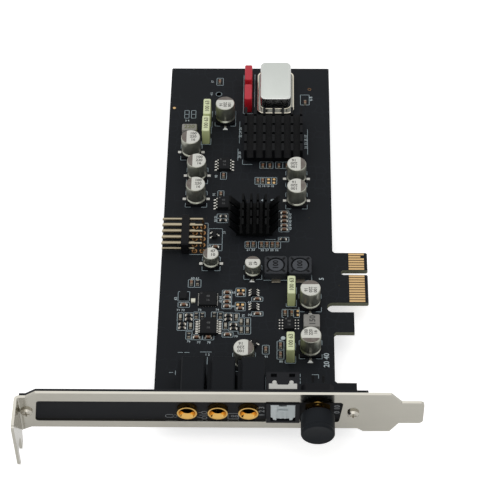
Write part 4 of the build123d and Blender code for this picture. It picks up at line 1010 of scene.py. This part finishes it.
addLoft(flap, [(outline, 0), (outline, thick)], spot)
plate = [(half, head), (half, foot + 1.5), (half - 0.55, foot + 1.3), (half - 0.8, foot + 0.25),
         (1.95, foot), (1.75, head - 1.0), (1.75, head)]
rib = [(0.35, foot + 0.6), (0.95, foot + 0.6), (0.95, head - 3.4), (0.35, head - 3.4)]
for side in (-1, 1):
    for shape, proud in ((plate, look["plateProud"]), (rib, look["ribProud"])):
        outline = [(side * x, z) for x, z in shape]
        addLoft(flap, [(outline, thick - lap), (outline, thick + proud)], spot)
addBlock(flap, (look["x"], look["back"] - 0.64, head - 3.1), look["bar"])
pin, pinLength = look["pin"], (flapHigh.x - flapLow.x) / 2 - notchHalf
for side in (-1, 1):
    x = look["x"] + side * (notchHalf + pinLength / 2)
    lying = at(x, flapLow.y + pin, look["pinHigh"]) @ Matrix.Rotation(pi / 2, 4, "Y")
    bmesh.ops.create_cone(flap, cap_ends=True, segments=20, radius1=pin * mm, radius2=pin * mm,
                          depth=pinLength * mm, matrix=lying)
flapGrey = paint("flapGrey", (198, 206, 207), 0.5, blotch=2.0, spread=0.08)
putPiece(flap, "flapPlate", flapGrey, body="flap", replaces=["optical_flap"])

# knob: a moulded cap with a rolled front edge and a shallow ring
knobLow, knobHigh = corners("volume_knob")
knobLook = {
    "centre": ((knobLow.x + knobHigh.x) / 2, knobHigh.y, (knobLow.z + knobHigh.z) / 2), "radius": 5.0,
    "length": knobHigh.y - knobLow.y, "bore": 1.8, "socket": 5.5, "edge": 0.55,
    "groove": (1.15, 0.1, 0.08),  # distance from the front, half width and depth
}
look = knobLook
radius, length, edge = look["radius"], look["length"], look["edge"]
bore, socket = look["bore"], look["socket"]
grooveAt, grooveHalf, grooveDeep = look["groove"]
profile = [(0, socket), (bore, socket), (bore, 0), (radius - 0.2, 0), (radius, 0.2),
           (radius, length - grooveAt - grooveHalf), (radius - grooveDeep, length - grooveAt),
           (radius, length - grooveAt + grooveHalf)]
profile += roundedEdge(radius, length, edge, 6)
profile += [(radius - edge - 0.15, length - 0.04), (0, length - 0.06)]
knob = bmesh.new()
addSpun(knob, profile, look["centre"], (0, -1, 0), 72)
knobBlack = paint("knobBlack", (27, 30, 34), 0.4, blotch=3.0, grain=0.12, relief=0.1, gloss=0.07)
putPiece(knob, "knobCap", knobBlack, body="knob", smooth=True, replaces=["volume_knob"])

# painted shade in the two slots of the board: black blocks that fill them
slotShadeLook = {"x": (-17.7, -14.55), "y": -41.65, "size": (0.68, 2.46, 1.5), "bevel": 0.05}
shadeBlocks = bmesh.new()
for x in slotShadeLook["x"]:
    addBlock(shadeBlocks, (x, slotShadeLook["y"], 0.0), slotShadeLook["size"], bevel=slotShadeLook["bevel"])
# the black of these blocks is painted shade
putPiece(shadeBlocks, "slotShadePiece", paint("slotShadeBlack", (14, 14, 16), 0.6, gloss=0.1))
print("front done")

# stage: camera, floor, lamps; places and sizes are in metres
view = {
    "place": (-0.028385, -0.370448, 0.453432),
    "rows": ((0.99988, -0.00406, 0.01514), (0.01284, 0.76615, -0.64253), (-0.00899, 0.64264, 0.76611)),
    "camera": {"lens": 133.05, "sensor_width": 36.0, "clip_start": 0.01, "clip_end": 20.0},
}
cameraData = bpy.data.cameras.new("camera")
for key, value in view["camera"].items():
    setattr(cameraData, key, value)
camera = addObject("camera", cameraData)
camera.matrix_world = Matrix.Translation(view["place"]) @ Matrix(view["rows"]).to_4x4()
bpy.context.scene.camera = camera

stage = {
    "floor": (colour(240, 240, 240), colour(244, 244, 244)),
    "floorHalf": 3.0,
    "below": 0.0002,  # gap between the card and the floor
    "glow": 0.6,
    "mirrored": 0.4,  # share of the floor's glow that a shiny surface shows
    "world": 0.53,  # light of the world, which is white only where it is looked at
}
lamps = [  # name, power, size, place and target
    ("topLamp", 2.9, (1.6, 1.2), (-0.05, 0.25, 0.9), (-0.03, 0.0, 0.0)),
    ("frontLamp", 0.88, (0.8, 0.5), (-0.1, -0.9, 0.5), (-0.03, -0.03, 0.0)),
    ("sideLamp", 0.6, (0.5, 0.8), (-0.9, 0.0, 0.5), (-0.03, 0.0, 0.0)),
]
black, white = (0.0, 0.0, 0.0, 1.0), (1.0, 1.0, 1.0, 1.0)


def seenWhite(tree, mirrored=1.0):
    # 1 for rays that look straight at it, and a share for those in a shiny surface
    path = tree.nodes.new("ShaderNodeLightPath")
    straight, glossy, through = (Wire(tree, path.outputs[f"Is {kind} Ray"])
                                 for kind in ("Camera", "Glossy", "Transmission"))
    return (straight + glossy * mirrored + through).clamped()


floorMesh = bmesh.new()
bmesh.ops.create_grid(floorMesh, x_segments=1, y_segments=1, size=stage["floorHalf"],
                      matrix=Matrix.Translation((0, 0, cadBox[0][2] - stage["below"])))
floorFinish = Finish("paleFloor")
floorShade = floorFinish.noise(60.0, 2.0)
floorSeen = seenWhite(floorFinish.tree, stage["mirrored"])
floorFinish.feed(
    baseColor=floorFinish.mix(floorShade, *stage["floor"]),
    roughness=(floorShade * 0.1 + 0.6).clamped(),
    emission=floorFinish.mix(floorSeen, black, white),
)
floorFinish.shader.inputs["Emission Strength"].default_value = stage["glow"]
addMesh(floorMesh, "floor", floorFinish)

world = bpy.data.worlds.new("studio")
bpy.context.scene.world = world
world.use_nodes = True
background = world.node_tree.nodes["Background"]
background.inputs["Color"].default_value = white
strength = seenWhite(world.node_tree) * (1.0 - stage["world"]) + stage["world"]
world.node_tree.links.new(strength.socket, background.inputs["Strength"])


def addLamp(name, power, size, spot, target):
    lampData = bpy.data.lights.new(name, "AREA")
    lampData.energy = power
    lampData.shape = "RECTANGLE"
    lampData.size, lampData.size_y = size
    lamp = addObject(name, lampData)
    aim = (Vector(target) - Vector(spot)).to_track_quat("-Z", "Y")
    lamp.matrix_world = Matrix.Translation(spot) @ aim.to_matrix().to_4x4()


for lamp in lamps:
    addLamp(*lamp)
bpy.context.scene.view_settings.view_transform = "Standard"
print("stage done")
